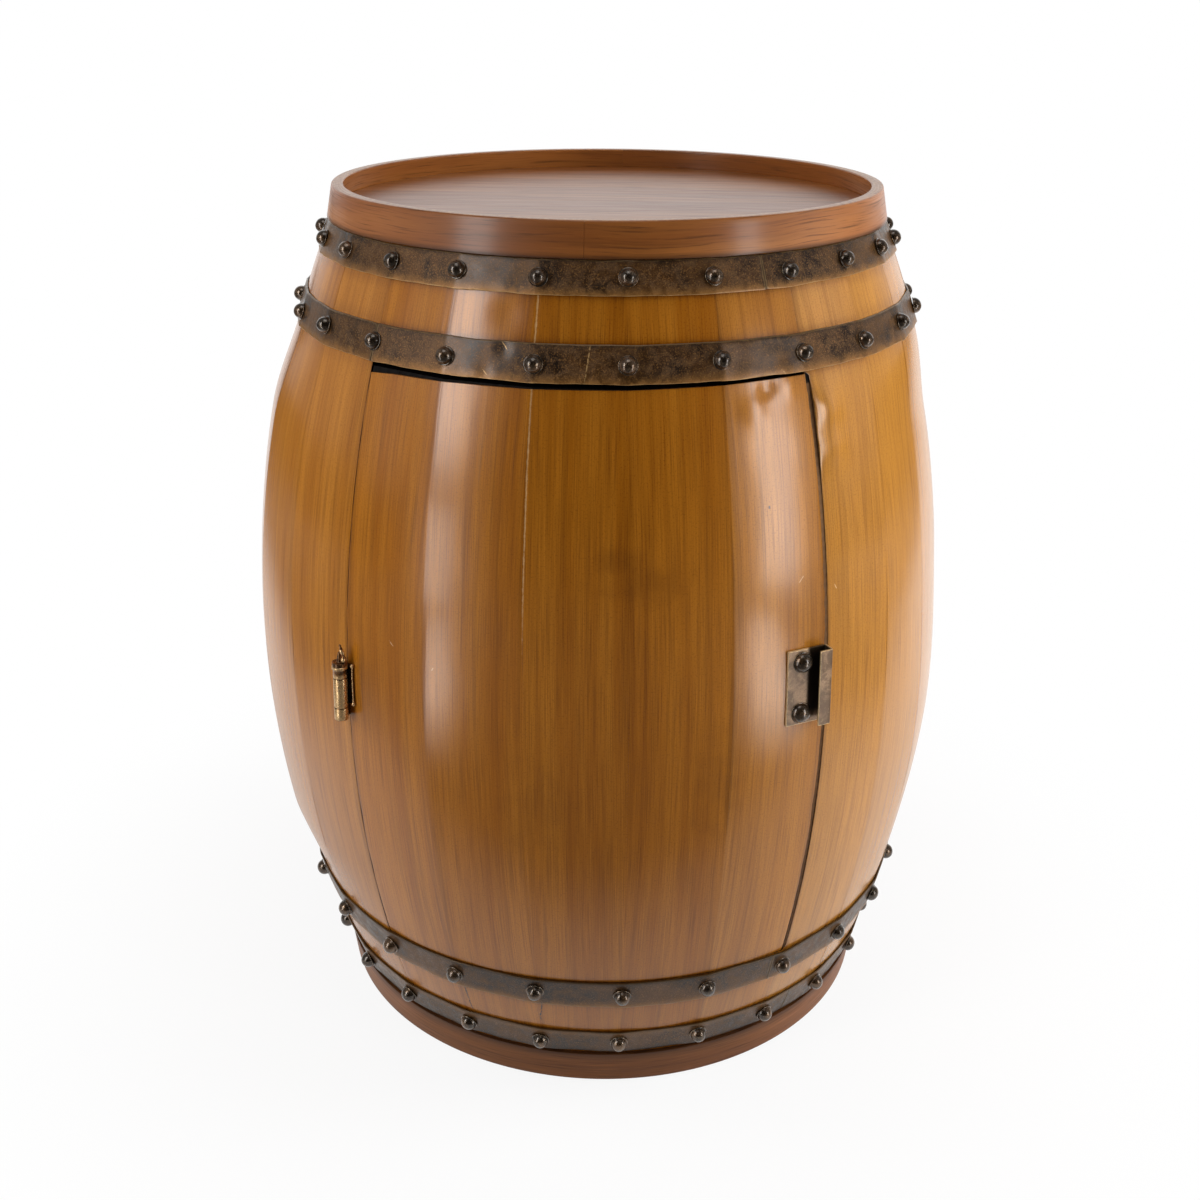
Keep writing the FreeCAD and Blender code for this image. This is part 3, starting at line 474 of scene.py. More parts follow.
def glazeMaterial():
    look = glaze
    material, tree, shader = newMaterial("staveGlaze", look["plain"])
    place = coordinates(tree, "UV")
    inside = attributeValue(tree, "inside")
    grain = useGroup(tree, streakGroup, {"Vector": place, **look["grain"]})
    sources = {"Streaks": grain["Streaks"], "Strokes": grain["Strokes"],
               "tooth": noise(tree, place, *look["toothNoise"]),
               "fleck": noise(tree, stretched(tree, place, look["fleckStretch"]), 1.0, look["fleckDetail"])}
    shade = tint(tree, spread(tree, grain["Patches"], *look["patches"]), look["middle"], look["light"])
    # the lighter, yellower glaze on the side facets is painted light
    shade = tint(tree, times(tree, attributeValue(tree, "tone"), look["yellowShare"]), shade, look["yellow"])
    shade = layered(tree, shade, sources, look["layers"], look)
    for spot in look["smudges"]:
        shade = tint(tree, smudge(tree, place, spot), shade, look["dark"])
    shade = layered(tree, shade, sources, look["fleckLayers"], look)
    # dirt and painted shade on the staves beside the hoops' edges, broken up by the streaks
    shadeAndDirt = times(tree, attributeValue(tree, "grime"), sums(tree, "ADD", grain["Streaks"], look["shadeDirtBase"]))
    shade = tint(tree, times(tree, shadeAndDirt, look["shadeDirtShare"], clamp=True), shade, look["dark"])
    seam = times(tree, attributeValue(tree, "seam"), spread(tree, grain["Streaks"], *look["seamLevels"]))
    shade = tint(tree, times(tree, seam, look["seamShare"], clamp=True), shade, look["dark"])
    # rubbed edges; on the two seams beside the door's middle stave they are a painted highlight
    shade = rubbed(tree, place, shade, look, "bareEdge")
    for line in look["scratches"]:
        shade = tint(tree, scratch(tree, place, line), shade, look["bareEdge"])
    for line in look["cracks"]:
        shade = tint(tree, scratch(tree, place, line), shade, look["crack"])
    shade = tint(tree, inside, shade, look["inside"])
    dull = times(tree, inside, look["insideRoughness"])
    gloss = sums(tree, "MAXIMUM", glossOf(tree, grain["Strokes"], look), dull)
    height = sums(tree, "ADD", grain["Strokes"], times(tree, grain["Streaks"], look["streakRelief"]))
    connect(tree, shader, shade, gloss, height, look)
    return material


# Hoops: sheet metal with a sponged bronze patina
patina = {
    "gold": colour(186, 130, 64),
    "brown": colour(102, 68, 34),
    "black": colour(34, 22, 12),
    "pewter": colour(118, 86, 54),
    "bareEdge": colour(214, 170, 110),
    "plain": {"Metallic": 0.5, "Coat Weight": 0.35, "Coat Roughness": 0.22, "IOR": 1.5},
    "mottle": {"Clouds": 26.0, "Speckle": 1100.0},
    "clouds": (0.36, 0.62),
    "pitNoise": (900.0, 3.0, 0.7),
    "layers": [("Blotches", 0.42, 0.66, 0.7, "pewter"), ("pits", 0.50, 0.66, 0.55, "black")],
    "speckleShare": 0.5,
    "giltLevels": (0.25, 0.6, 0.35, 1.0),
    "wear": {"Break": 190.0, "Amount": 0.24},
    "wearShare": 0.8,
    "shadeDirtShare": 0.85,
    "roughness": (0.30, 0.60),
    "speckleRelief": 0.5,
    "bump": (0.35, 0.0005),
    "scratches": [
        {"along": 0.0048, "height": 0.5250, "lean": -0.16, "jag": 0.0010, "width": 0.0007, "reach": 0.0125},
        {"along": -0.0680, "height": 0.5172, "lean": 1.2, "jag": 0.0012, "width": 0.0006, "reach": 0.002},
        {"along": -0.0555, "height": 0.5342, "lean": 0.9, "jag": 0.0012, "width": 0.0006, "reach": 0.003},
        {"along": -0.0667, "height": 0.5824, "lean": -1.1, "jag": 0.0012, "width": 0.0006, "reach": 0.002},
        {"along": -0.0895, "height": 0.5813, "lean": 1.1, "jag": 0.0012, "width": 0.0006, "reach": 0.002},
        {"along": 0.1479, "height": 0.5150, "lean": 0.9, "jag": 0.0012, "width": 0.0007, "reach": 0.002},
    ],
}


def patinaMaterial():
    look = patina
    material, tree, shader = newMaterial("hoopPatina", look["plain"])
    place, flat = coordinates(tree), coordinates(tree, "UV")
    cloud = useGroup(tree, mottleGroup, {"Vector": place, **look["mottle"]})
    sources = {"Blotches": cloud["Blotches"], "pits": noise(tree, place, *look["pitNoise"])}
    shade = tint(tree, spread(tree, cloud["Clouds"], *look["clouds"]), look["black"], look["brown"])
    shade = layered(tree, shade, sources, look["layers"], look)
    shade = tint(tree, times(tree, cloud["Speckle"], look["speckleShare"]), shade, look["gold"])
    gilt = times(tree, attributeValue(tree, "gilt"), spread(tree, cloud["Blotches"], *look["giltLevels"]))
    shade = tint(tree, gilt, shade, look["gold"])
    shade = rubbed(tree, place, shade, look, "bareEdge")
    for line in look["scratches"]:
        shade = tint(tree, scratch(tree, flat, line), shade, look["bareEdge"])
    # painted shade under the rim, along the hoops' upper edges and over the lower hoops, and dark joints
    shade = paintShadeDirt(tree, shade, look["shadeDirtShare"], look["black"])
    height = sums(tree, "ADD", times(tree, cloud["Speckle"], look["speckleRelief"]), cloud["Blotches"])
    connect(tree, shader, shade, glossOf(tree, cloud["Blotches"], look), height, look)
    return material


# Nails and rivets: dark forged heads
forged = {
    "black": colour(50, 40, 32),
    "brown": colour(104, 78, 54),
    "bright": colour(206, 176, 136),
    "plain": {"Metallic": 0.7, "Coat Weight": 1.0, "Coat Roughness": 0.07, "IOR": 1.5},
    "mottle": {"Clouds": 90.0, "Speckle": 1400.0},
    "clouds": (0.42, 0.66),
    "speckleShare": 0.35,
    "wear": {"Break": 600.0, "Amount": 0.2},
    "wearShare": 0.7,
    "roughness": (0.16, 0.28),
    "bump": (0.3, 0.0006),
}


def forgedMaterial():
    look = forged
    material, tree, shader = newMaterial("forgedNail", look["plain"])
    place = coordinates(tree)
    cloud = useGroup(tree, mottleGroup, {"Vector": place, **look["mottle"]})
    shade = tint(tree, spread(tree, cloud["Clouds"], *look["clouds"]), look["black"], look["brown"])
    shade = tint(tree, times(tree, cloud["Speckle"], look["speckleShare"]), shade, look["bright"])
    # rubbed crowns, and a pale painted reflection round each flange
    shade = rubbed(tree, place, shade, look, "bright")
    connect(tree, shader, shade, glossOf(tree, cloud["Blotches"], look), cloud["Blotches"], look)
    return material


# Rims and tray: stained hardwood under a satin varnish. Each wood has its coordinates, the share of
# the dark stain, and its varnish
stain = {
    "light": colour(168, 104, 48),
    "red": colour(140, 80, 34),
    "dark": colour(92, 52, 22),
    "pore": colour(54, 30, 14),
    "worn": colour(206, 158, 104),
    "plain": {"IOR": 1.5, "Specular IOR Level": 0.25},
    "grain": {"Fine": 900.0, "Length": 0.024, "Wander": 0.008},
    "patches": (0.36, 0.66),
    "layers": [("Streaks", 0.46, 0.72, 0.4, "dark"), ("Strokes", 0.52, 0.70, 0.6, "pore"),
               ("Strokes", 0.44, 0.30, 0.4, "light")],
    "wear": {"Break": 260.0, "Amount": 0.08},
    "wearShare": 0.6,
    "shadeDirtShare": 0.8,
    "roughness": (0.36, 0.52),
    "bump": (0.18, 0.0003),
    "woods": {
        "rimWood": ("UV", 0.05, {"Coat Weight": 0.5, "Coat Roughness": 0.22}),
        "baseWood": ("UV", 0.6, {"Coat Weight": 0.1, "Coat Roughness": 0.3}),
        "trayWood": ("Object", 0.0, {"Coat Weight": 0.65, "Coat Roughness": 0.25}),
    },
}


def stainMaterial(name, kind, darkShare, varnish):
    look = stain
    material, tree, shader = newMaterial(name, {**look["plain"], **varnish})
    parts = axes(tree, coordinates(tree, kind))
    place = pointFrom(tree, parts[1], parts[0], parts[2])  # the grain runs along the first axis
    grain = useGroup(tree, streakGroup, {"Vector": place, **look["grain"]})
    shade = tint(tree, spread(tree, grain["Patches"], *look["patches"]), look["red"], look["light"])
    shade = tint(tree, darkShare, shade, look["dark"])
    shade = layered(tree, shade, grain, look["layers"], look)
    shade = rubbed(tree, place, shade, look, "worn")
    # painted shade where the rims sit against the hoops
    shade = paintShadeDirt(tree, shade, look["shadeDirtShare"], look["pore"])
    connect(tree, shader, shade, glossOf(tree, grain["Strokes"], look), grain["Strokes"], look)
    return material


# Boards, jambs, stiles and rails inside: plain brown-stained plywood, with plies on its edges. The top
# of the door's frame, which shows in the gap over the door, is painted nearly black as shade
plywood = {
    "light": colour(118, 84, 52),
    "dark": colour(78, 52, 30),
    "glue": colour(52, 34, 20),
    "paintedShade": colour(10, 6, 4),
    "plain": {"Specular IOR Level": 0.15},
    "grain": {"Fine": 420.0, "Length": 0.05, "Wander": 0.02},
    "patches": (0.34, 0.68),
    "streakLayers": [("Streaks", 0.45, 0.7, 0.6, "dark")],
    "strokeLayers": [("Strokes", 0.55, 0.75, 0.4, "glue")],
    "plyThickness": 0.003,
    "plyLine": (0.46, 0.54),
    "plyFacing": (0.2, 0.6, 1.0, 0.0),
    "plyShare": 0.2,
    "shadeBand": 0.0055,
    "shadeFull": 0.75,
    "shadeOver": (0.002, 0.001),
    "roughness": (0.55, 0.75),
    "bump": (0.25, 0.0004),
}


def plywoodMaterial():
    look = plywood
    material, tree, shader = newMaterial("stainedPlywood", look["plain"])
    place = coordinates(tree)
    level = axes(tree, place)[2]
    grain = useGroup(tree, streakGroup, {"Vector": place, **look["grain"]})
    shade = tint(tree, spread(tree, grain["Patches"], *look["patches"]), look["dark"], look["light"])
    shade = layered(tree, shade, grain, look["streakLayers"], look)
    ply = sums(tree, "FRACT", sums(tree, "DIVIDE", level, 2 * look["plyThickness"]))
    facing = axes(tree, addNode(tree, "ShaderNodeNewGeometry").outputs["Normal"])
    upright = spread(tree, sums(tree, "ABSOLUTE", facing[2]), *look["plyFacing"])
    plies = times(tree, spread(tree, ply, *look["plyLine"]), upright)
    shade = tint(tree, times(tree, plies, look["plyShare"]), shade, look["glue"])
    shade = layered(tree, shade, grain, look["strokeLayers"], look)
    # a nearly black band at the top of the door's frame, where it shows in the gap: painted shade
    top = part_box("door_top_rail")[1].z
    above = spread(tree, level, top - look["shadeBand"], top - look["shadeFull"] * look["shadeBand"])
    below = spread(tree, level, *(top + over for over in look["shadeOver"]))
    shade = tint(tree, times(tree, above, below), shade, look["paintedShade"])
    connect(tree, shader, shade, glossOf(tree, grain["Strokes"], look), grain["Strokes"], look)
    return material


# Small fittings: three tones clouded over each other, with a fine tooth
fitting = {
    "paintedShade": (0.014, 0.008, 0.004, 1.0),
    "plain": {"Coat Weight": 0.2, "Coat Roughness": 0.2},
    "clouds": (0.40, 0.64),
    "layers": [("Blotches", 0.5, 0.8, 0.28, "bright")],
    "speckleScale": 14,
    "wear": {"Break": 500.0, "Amount": 0.3},
    "wearShare": 0.85,
    "shadeDirtShare": 0.92,
    "bump": (0.25, 0.0004),
    "metals": {
        "antiqueBrass": {"dark": colour(80, 52, 28), "middle": colour(158, 108, 62),
                         "bright": colour(236, 196, 142), "metallic": 0.8, "roughness": (0.20, 0.36),
                         "scale": 160.0, "speckle": 0.2},
        "pullBronze": {"dark": colour(104, 80, 58), "middle": colour(162, 130, 100),
                       "bright": colour(244, 212, 160), "metallic": 0.5, "roughness": (0.34, 0.50),
                       "scale": 90.0, "speckle": 0.7},
        "zincSteel": {"dark": colour(118, 116, 108), "middle": colour(168, 166, 158),
                      "bright": colour(208, 206, 200), "metallic": 0.9, "roughness": (0.26, 0.45),
                      "scale": 150.0, "speckle": 0.5},
        "catchPlastic": {"dark": colour(58, 38, 22), "middle": colour(76, 50, 30),
                         "bright": colour(98, 68, 44), "metallic": 0.0, "roughness": (0.42, 0.6),
                         "scale": 140.0, "speckle": 0.5},
        "magnetFerrite": {"dark": colour(34, 34, 36), "middle": colour(54, 54, 56),
                          "bright": colour(84, 84, 86), "metallic": 0.1, "roughness": (0.55, 0.75),
                          "scale": 160.0, "speckle": 0.5},
    },
}


def fittingMaterial(name, metal):
    look = {**fitting, **metal}
    material, tree, shader = newMaterial(name, {"Metallic": look["metallic"], **look["plain"]})
    place = coordinates(tree)
    cloud = useGroup(tree, mottleGroup, {"Vector": place, "Clouds": look["scale"],
                                         "Speckle": look["scale"] * look["speckleScale"]})
    shade = tint(tree, spread(tree, cloud["Clouds"], *look["clouds"]), look["dark"], look["middle"])
    shade = layered(tree, shade, cloud, look["layers"], look)
    shade = tint(tree, times(tree, cloud["Speckle"], look["speckle"]), shade, look["dark"])
    shade = rubbed(tree, place, shade, look, "bright")
    # painted shade in the pull's channel, the hinge's recesses and on the leaf plate
    shade = paintShadeDirt(tree, shade, look["shadeDirtShare"], look["paintedShade"])
    connect(tree, shader, shade, glossOf(tree, cloud["Blotches"], look), cloud["Blotches"], look)
    return material


glazePaint = glazeMaterial()
patinaMetal = patinaMaterial()
forgedMetal = forgedMaterial()
rimWood, baseWood, trayWood = [stainMaterial(name, *wood) for name, wood in stain["woods"].items()]
innerWood = plywoodMaterial()
antiqueBrass, pullBronze, zincSteel, catchPlastic, magnetBlack = [
    fittingMaterial(name, metal) for name, metal in fitting["metals"].items()]
print("materials made")


# The cask's shape, read from the stave at the back, which faces +Y
cask = {
    "facets": 24,
    "doorFacets": 5,
    "seamGap": 0.0003,
    "hingeGap": 0.0006,
    "latchGap": 0.0015,
    "sheet": 0.0012,
}
backStave = nodePoints("stave_10")
shellLow, shellHigh = backStave[:, 2].min(), backStave[:, 2].max()
shellMiddle = (shellLow + shellHigh) / 2
bellyFace = backStave[:, 1].max()
endFace = backStave[backStave[:, 2] > shellHigh - cask["sheet"]][:, 1].max()
bulge = bellyFace - endFace
arcRadius = ((shellHigh - shellLow) ** 2 / 4 + bulge ** 2) / (2 * bulge)
facetAngle = 2 * math.pi / cask["facets"]
halfFacet = facetAngle / 2
halfDoor = cask["doorFacets"] // 2


def faceRadius(height):
    # radius of a facet's face on the upright arc
    return bellyFace - arcRadius + np.sqrt(arcRadius ** 2 - (height - shellMiddle) ** 2)


def leanAt(height):
    # how far the surface tips up from level at a height
    return np.arcsin((height - shellMiddle) / arcRadius)


hoopEnds = {name: (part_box(f"{name}_hoop")[0].z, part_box(f"{name}_hoop")[1].z)
            for name in ("top", "upper", "lower", "bottom")}

# Side light, by facet, is the share of the lighter, yellower glaze painted on the facets where the side
# light falls: painted light. Seam marks, by the facet at the seam's left, are wear, dirt and how far the
# edge is rolled over; on the two seams beside the door's middle stave the wear is a painted highlight.
# Dents have a facet, the place across it, a height, a radius and a depth
staveLook = {
    "acrossSteps": 22,
    "upSteps": 96,
    "frontFacets": (-2, -1, 0, 1, 2, 3),
    "frontAcrossSteps": 34,
    "frontUpSteps": 200,
    "edgeRoll": 0.0009,
    "edgeDrop": 0.00022,
    "crownRise": 0.0006,
    "crownFall": 0.0008,
    "waveLength": 0.16,
    "waveHeight": 0.00010,
    "buckleLength": 0.05,
    "buckleHeight": 0.00003,
    "edgeWander": 0.00016,
    "wanderLength": 0.03,
    "wanderShift": 0.7,
    "seeds": {"edge": 40, "wave": 100, "buckle": 200},
    "skinGap": 0.00008,
    "frontLeastHeight": 0.12,
    "edgeCrowding": 0.6,
    "shadeDirtReach": 0.0022,
    "seamSoilReach": 0.0022,
    "endWear": 0.5,
    "endWearReach": 0.0006,
    "rubAndSheenBelow": 0.3,
    "sideLitShares": {2: 0.25, 3: 0.65, 4: 0.7, 5: 0.6, 6: 0.45, 7: 0.3, 8: 0.15, -3: 0.2, -4: 0.2},
    "seamWear": 0.12,
    "seamSoil": 0.35,
    "seamRoll": 0.2,
    "seamMarks": {-1: (1.05, 0.1, 0.8), 0: (0.3, 0.1, 0.3), 1: (0.0, 0.9, 0.1), -2: (0.0, 0.6, 0.3),
                  2: (0.7, 0.9, 0.5), -3: (0.15, 0.9, 0.8)},
    "leftBulge": 0.0062,
    "rightHollow": 0.0048,
    "rightLevels": (0.20, 0.34),
    "sideStart": 0.68,
    "sideFull": 1.22,
    "backStart": 1.75,
    "backEnd": 2.75,
    "hoopRamps": (0.05, 0.065),
    "wearReach": 0.0015,
    "rubAndSheenFrom": (0.28, 0.40),
    "latchOpening": 0.0022,
    "latchFollow": 0.5,
    "rippleSpots": [(0.492, 0.012), (0.372, 0.028)],
    "rippleLength": 0.0115,
    "rippleHeight": 0.0003,
    "doorTopShares": (-1.0, -0.86, -0.5, 0.0, 0.5, 1.0),
    "doorTopLevels": (-0.0044, -0.0027, -0.0016, -0.0009, -0.0002, 0.0008),
    "latchHeights": (0.06, 0.15, 0.31, 0.42, 0.53),
    "latchShifts": (0.0, 0.0008, 0.0022, 0.0018, 0.0013),
    "dents": [
        (2, -0.0112, 0.4940, 0.009, -0.0007),
        (2, -0.0005, 0.5050, 0.006, 0.0009),
        (2, 0.0173, 0.5053, 0.007, -0.0006),
        (2, 0.006, 0.470, 0.016, 0.0003),
        (3, -0.0150, 0.4890, 0.0135, -0.0038),
        (3, -0.0160, 0.4640, 0.0130, -0.0028),
        (-1, 0.010, 0.552, 0.010, 0.0005),
        (0, 0.012, 0.330, 0.022, 0.0002),
        (1, 0.020, 0.180, 0.020, 0.0002),
        (-2, 0.010, 0.470, 0.018, 0.00025),
    ],
}
hairGap = staveLook["skinGap"] / 2


def smoothStep(value, start, full):
    share = np.clip((value - start) / (full - start), 0, 1)
    return share * share * (3 - 2 * share)


def lopsided(angle, height):
    # the hand-made cask swells more on its left side than on its right, between the inner hoops
    look = staveLook
    angle = (angle + math.pi) % (2 * math.pi) - math.pi
    away = abs(angle)
    side = smoothStep(away, look["sideStart"], look["sideFull"])
    side = side * (1 - smoothStep(away, look["backStart"], look["backEnd"]))
    low, high = hoopEnds["lower"][1], hoopEnds["upper"][0]
    between = smoothStep(height, low, low + look["hoopRamps"][0])
    between = between * (1 - smoothStep(height, high - look["hoopRamps"][1], high))
    if angle < 0:
        return look["leftBulge"] * side * between
    return -look["rightHollow"] * side * between * smoothStep(height, *look["rightLevels"])


def staveEdges(facet, height, swellLeft, swellRight, leftGap, rightGap):
    # the left and right edge of a stave's face, across its facet: r tan(half a facet) less the gap, with
    # a wavy edge and ripples where the latch edge was bent
    look = staveLook
    wander = ripple(height, facet * look["wanderShift"], look["seeds"]["edge"] + facet, look["wanderLength"],
                    look["edgeWander"])
    for level, reach in look["rippleSpots"]:
        waves = look["rippleHeight"] * np.sin(2 * math.pi * height / look["rippleLength"])
        wander = wander + waves * np.exp(-((height - level) / reach) ** 2) * (facet >= halfDoor)
    left = -(faceRadius(height) + swellLeft) * math.tan(halfFacet) + leftGap / math.cos(halfFacet)
    right = (faceRadius(height) + swellRight) * math.tan(halfFacet) - rightGap / math.cos(halfFacet)
    # the door was cut a little wide at its latch edge, and the stave beside it further in
    cut = np.interp(height, look["latchHeights"], look["latchShifts"])
    if facet == halfDoor and rightGap > cask["seamGap"]:
        right = right + cut + wander
    if facet == -halfDoor and leftGap > cask["seamGap"]:
        left = left + wander
    if facet == halfDoor + 1:
        beside = (height > doorEnds[0]) & (height < doorEnds[1])
        left = left + np.where(beside, cut + look["latchOpening"] - wander * look["latchFollow"], 0)
    return left, right


def staveRelief(facet, share, across, height, inFromEdge, rolls):
    # how far the face stands out: a crown across it, long edges that roll over on a quarter circle,
    # slow waves, small buckles, and dents that fall off as exp(-distance^2 / radius^2)
    look = staveLook
    rolled = np.clip(1 - inFromEdge / look["edgeRoll"], 0, 1)
    rollShare = np.where(share < 0, *rolls)
    lift = look["crownRise"] - (look["crownRise"] + look["crownFall"]) * share ** 2
    lift = lift - look["edgeDrop"] * rollShare * (1 - np.sqrt(1 - rolled ** 2))
    for kind in ("wave", "buckle"):
        lift = lift + ripple(across, height, look["seeds"][kind] + facet, look[kind + "Length"],
                             look[kind + "Height"])
    for dentFacet, side, level, reach, depth in look["dents"]:
        if dentFacet == facet:
            away = ((across - side) ** 2 + (height - level) ** 2) / reach ** 2
            lift = lift - depth * np.exp(-away)
    return lift


def staveMarks(facet, height, fromEnd, fromLeft, fromRight, marks):
    # the values that the glaze reads: dirt and painted shade beside the hoops, dirt along the seams, rubbed
    # edges, which on two seams are a painted highlight, and the painted side light, each falling off as
    # exp(-distance / reach)
    look = staveLook
    edges = np.array([level for pair in hoopEnds.values() for level in pair])
    shadeAndDirt = np.exp(-np.abs(height[..., None] - edges) / look["shadeDirtReach"]).sum(-1)
    # on the seams beside the door's middle stave the wear is a painted highlight, stronger higher up
    worn = np.maximum(marks[0][0] * np.exp(-fromLeft / look["wearReach"]),
                      marks[1][0] * np.exp(-fromRight / look["wearReach"]))
    worn = worn * (look["rubAndSheenBelow"] + (1 - look["rubAndSheenBelow"]) * smoothStep(height, *look["rubAndSheenFrom"]))
    return {
        "seam": np.maximum(marks[0][1] * np.exp(-fromLeft / look["seamSoilReach"]),
                           marks[1][1] * np.exp(-fromRight / look["seamSoilReach"])),
        "grime": np.clip(shadeAndDirt, 0, 1),
        "edge": np.maximum(worn, look["endWear"] * np.exp(-fromEnd / look["endWearReach"])),
        "tone": np.full_like(height, look["sideLitShares"].get(facet, 0.0)),
    }


def stave(facet, low, high, leftGap, rightGap, topEdge):
    # One stave: share runs across from edge to edge, closer together at the edges, and height follows the
    # arc. The outline is its face from left to right and its back from right to left.
    look = staveLook
    angle = facet * facetAngle
    front = facet in look["frontFacets"] and high - low > look["frontLeastHeight"]
    steps = look["frontAcrossSteps" if front else "acrossSteps"]
    turn = np.sin(np.linspace(-math.pi / 2, math.pi / 2, steps))[None, :]
    share = look["edgeCrowding"] * turn + (1 - look["edgeCrowding"]) * np.linspace(-1, 1, steps)[None, :]
    up = np.linspace(0, 1, look["frontUpSteps" if front else "upSteps"])[:, None]
    top = high if topEdge is None else high + topEdge(angle + share * halfFacet)
    height = low + up * (top - low) + 0 * share
    swellLeft, swellRight = lopsided(angle - halfFacet, height), lopsided(angle + halfFacet, height)
    radius = faceRadius(height) + swellLeft * (1 - share) / 2 + swellRight * (1 + share) / 2
    left, right = staveEdges(facet, height, swellLeft, swellRight, leftGap, rightGap)
    across = left + (share + 1) / 2 * (right - left)
    usual = (look["seamWear"], look["seamSoil"], look["seamRoll"])
    marks = look["seamMarks"].get(facet - 1, usual), look["seamMarks"].get(facet, usual)
    lift = staveRelief(facet, share, across, height, np.minimum(across - left, right - across),
                       (marks[0][2], marks[1][2]))
    face = turnRound(angle, radius + lift, across, height)
    back = turnRound(angle, radius - cask["sheet"], across, height)
    fromEnd = np.minimum(height - low, top - height)
    values = staveMarks(facet, height, fromEnd, across - left, right - across, marks)
    values = {key: np.concatenate([value, value[:, ::-1]], axis=1) for key, value in values.items()}
    values["inside"] = np.concatenate([np.zeros_like(height), np.ones_like(height)], axis=1)
    uv = np.stack([angle * bellyFace + across, height], -1)
    return np.concatenate([face, back[:, ::-1]], axis=1), np.concatenate([uv, uv[:, ::-1]], axis=1), values


def stavePiece(name, facets, low, high, body, replaced, topEdge=None, gaps=None):
    # one object for the staves at these facets, with a hair's gap where no wider one is given
    parts = []
    for facet in facets:
        leftGap, rightGap = (gaps or {}).get(facet, (hairGap, hairGap))
        parts.append(stave(facet, low, high, leftGap, rightGap, topEdge))
    tubePiece(name, parts, body, glazePaint, replaced)


def doorTop(angle):
    # the door's top edge isn't parallel to the hoop: it is low at the hinge side and high at the latch
    share = angle / (cask["doorFacets"] * halfFacet)
    return np.interp(share, staveLook["doorTopShares"], staveLook["doorTopLevels"])


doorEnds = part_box("door_stave_5")[0].z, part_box("door_stave_5")[1].z
for order in range(cask["facets"] - cask["doorFacets"]):
    node = f"stave_{order + 1:02d}"
    facet = halfDoor + 1 + order
    facet = facet - cask["facets"] if facet > cask["facets"] // 2 else facet
    stavePiece(f"stave{order + 1:02d}Skin", [facet], shellLow, shellHigh, "root", [node])
doorRange = range(-halfDoor, halfDoor + 1)
for node, name in (("door_head_staves", "doorHeadSkin"), ("door_sill_staves", "doorSillSkin")):
    low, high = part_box(node)
    stavePiece(name, doorRange, low.z, high.z, "root", [node])
doorGaps = {-halfDoor: (cask["hingeGap"], hairGap), halfDoor: (hairGap, cask["latchGap"])}
for facet in doorRange:
    node = f"door_stave_{facet + halfDoor + 1}"
    low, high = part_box(node)
    stavePiece(f"doorStave{facet + halfDoor + 1}Skin", [facet], low.z, high.z, "door", [node], doorTop,
               doorGaps)
print("staves made")


# Hoops: many-sided bands in three strips each, with rounded edges and a hand-beaten face. A dent has its
# place along the hoop, its height, a radius and a depth; joints are given in facets from the front
hoopLook = {
    "thickness": 0.0012,
    "seat": 0.00017,
    "stepsPerFacet": 26,
    "faceSteps": 14,
    "edgeRound": 0.0005,
    "edgeWander": 0.00022,
    "roundness": 0.4,
    "beatLength": 0.022,
    "beatHeight": 0.00007,
    "waveLength": 0.09,
    "waveHeight": 0.00015,
    "wanderLengths": (0.035, 0.045),
    "cornerSteps": 4,
    "edgeWear": 1.3,
    "edgeReach": 0.0009,
    "giltFrom": 0.72,
    "giltPower": 1.5,
    "giltShare": 0.8,
    "shadeDirtBase": {"top": 0.1, "upper": 0.1, "lower": 0.35, "bottom": 0.35},
    "shadeUpper": 0.8,
    "shadeUpperReach": 0.07,
    "shadeFootReach": 0.12,
    "soilJointReach": 0.0012,
    "dents": {
        "top": [(-0.0667, 0.5810, 0.005, 0.0008), (-0.0895, 0.5800, 0.004, 0.0006),
                (0.0400, 0.5760, 0.006, 0.0004)],
        "upper": [(-0.0555, 0.5330, 0.005, 0.0009), (0.1479, 0.5158, 0.005, -0.0006),
                  (-0.0680, 0.5172, 0.004, 0.0005), (0.0700, 0.5230, 0.008, 0.0005)],
    },
    "jointShares": {"top": 2.15, "upper": -2.5, "lower": 2.35, "bottom": 2.9},
    "strips": 3,
}


def hoopRadius(angle, low, high, share):
    # radius of the hoop's seat: a straight line between both edges' radii, over the cosine of the
    # angle from the facet's middle, and part of the way to a true circle through the corners
    base = faceRadius(low) + share * (faceRadius(high) - faceRadius(low)) + hoopLook["seat"]
    away = angle - np.round(angle / facetAngle) * facetAngle
    bulge = hoopLook["roundness"] * (1 / math.cos(halfFacet) - 1 / np.cos(away))
    return base * (1 / np.cos(away) + bulge)


def hoopOutline(tall):
    # up the outer face, with its rounded edges, and down the inner face: shares of the height and depths
    look = hoopLook
    corner = look["edgeRound"]
    turn = np.linspace(0, math.pi / 2, look["cornerSteps"])
    middle = np.linspace(corner, tall - corner, look["faceSteps"])[1:-1]
    rise, run = corner * np.sin(turn), look["thickness"] - corner + corner * np.cos(turn)
    heights = np.concatenate([corner - rise[::-1], middle, tall - corner + rise])
    depths = np.concatenate([run[::-1], np.full(len(middle), look["thickness"]), run])
    shares = np.concatenate([heights, heights[::-1]])[None, :] / tall
    return shares, np.concatenate([depths, np.zeros_like(depths)])[None, :]


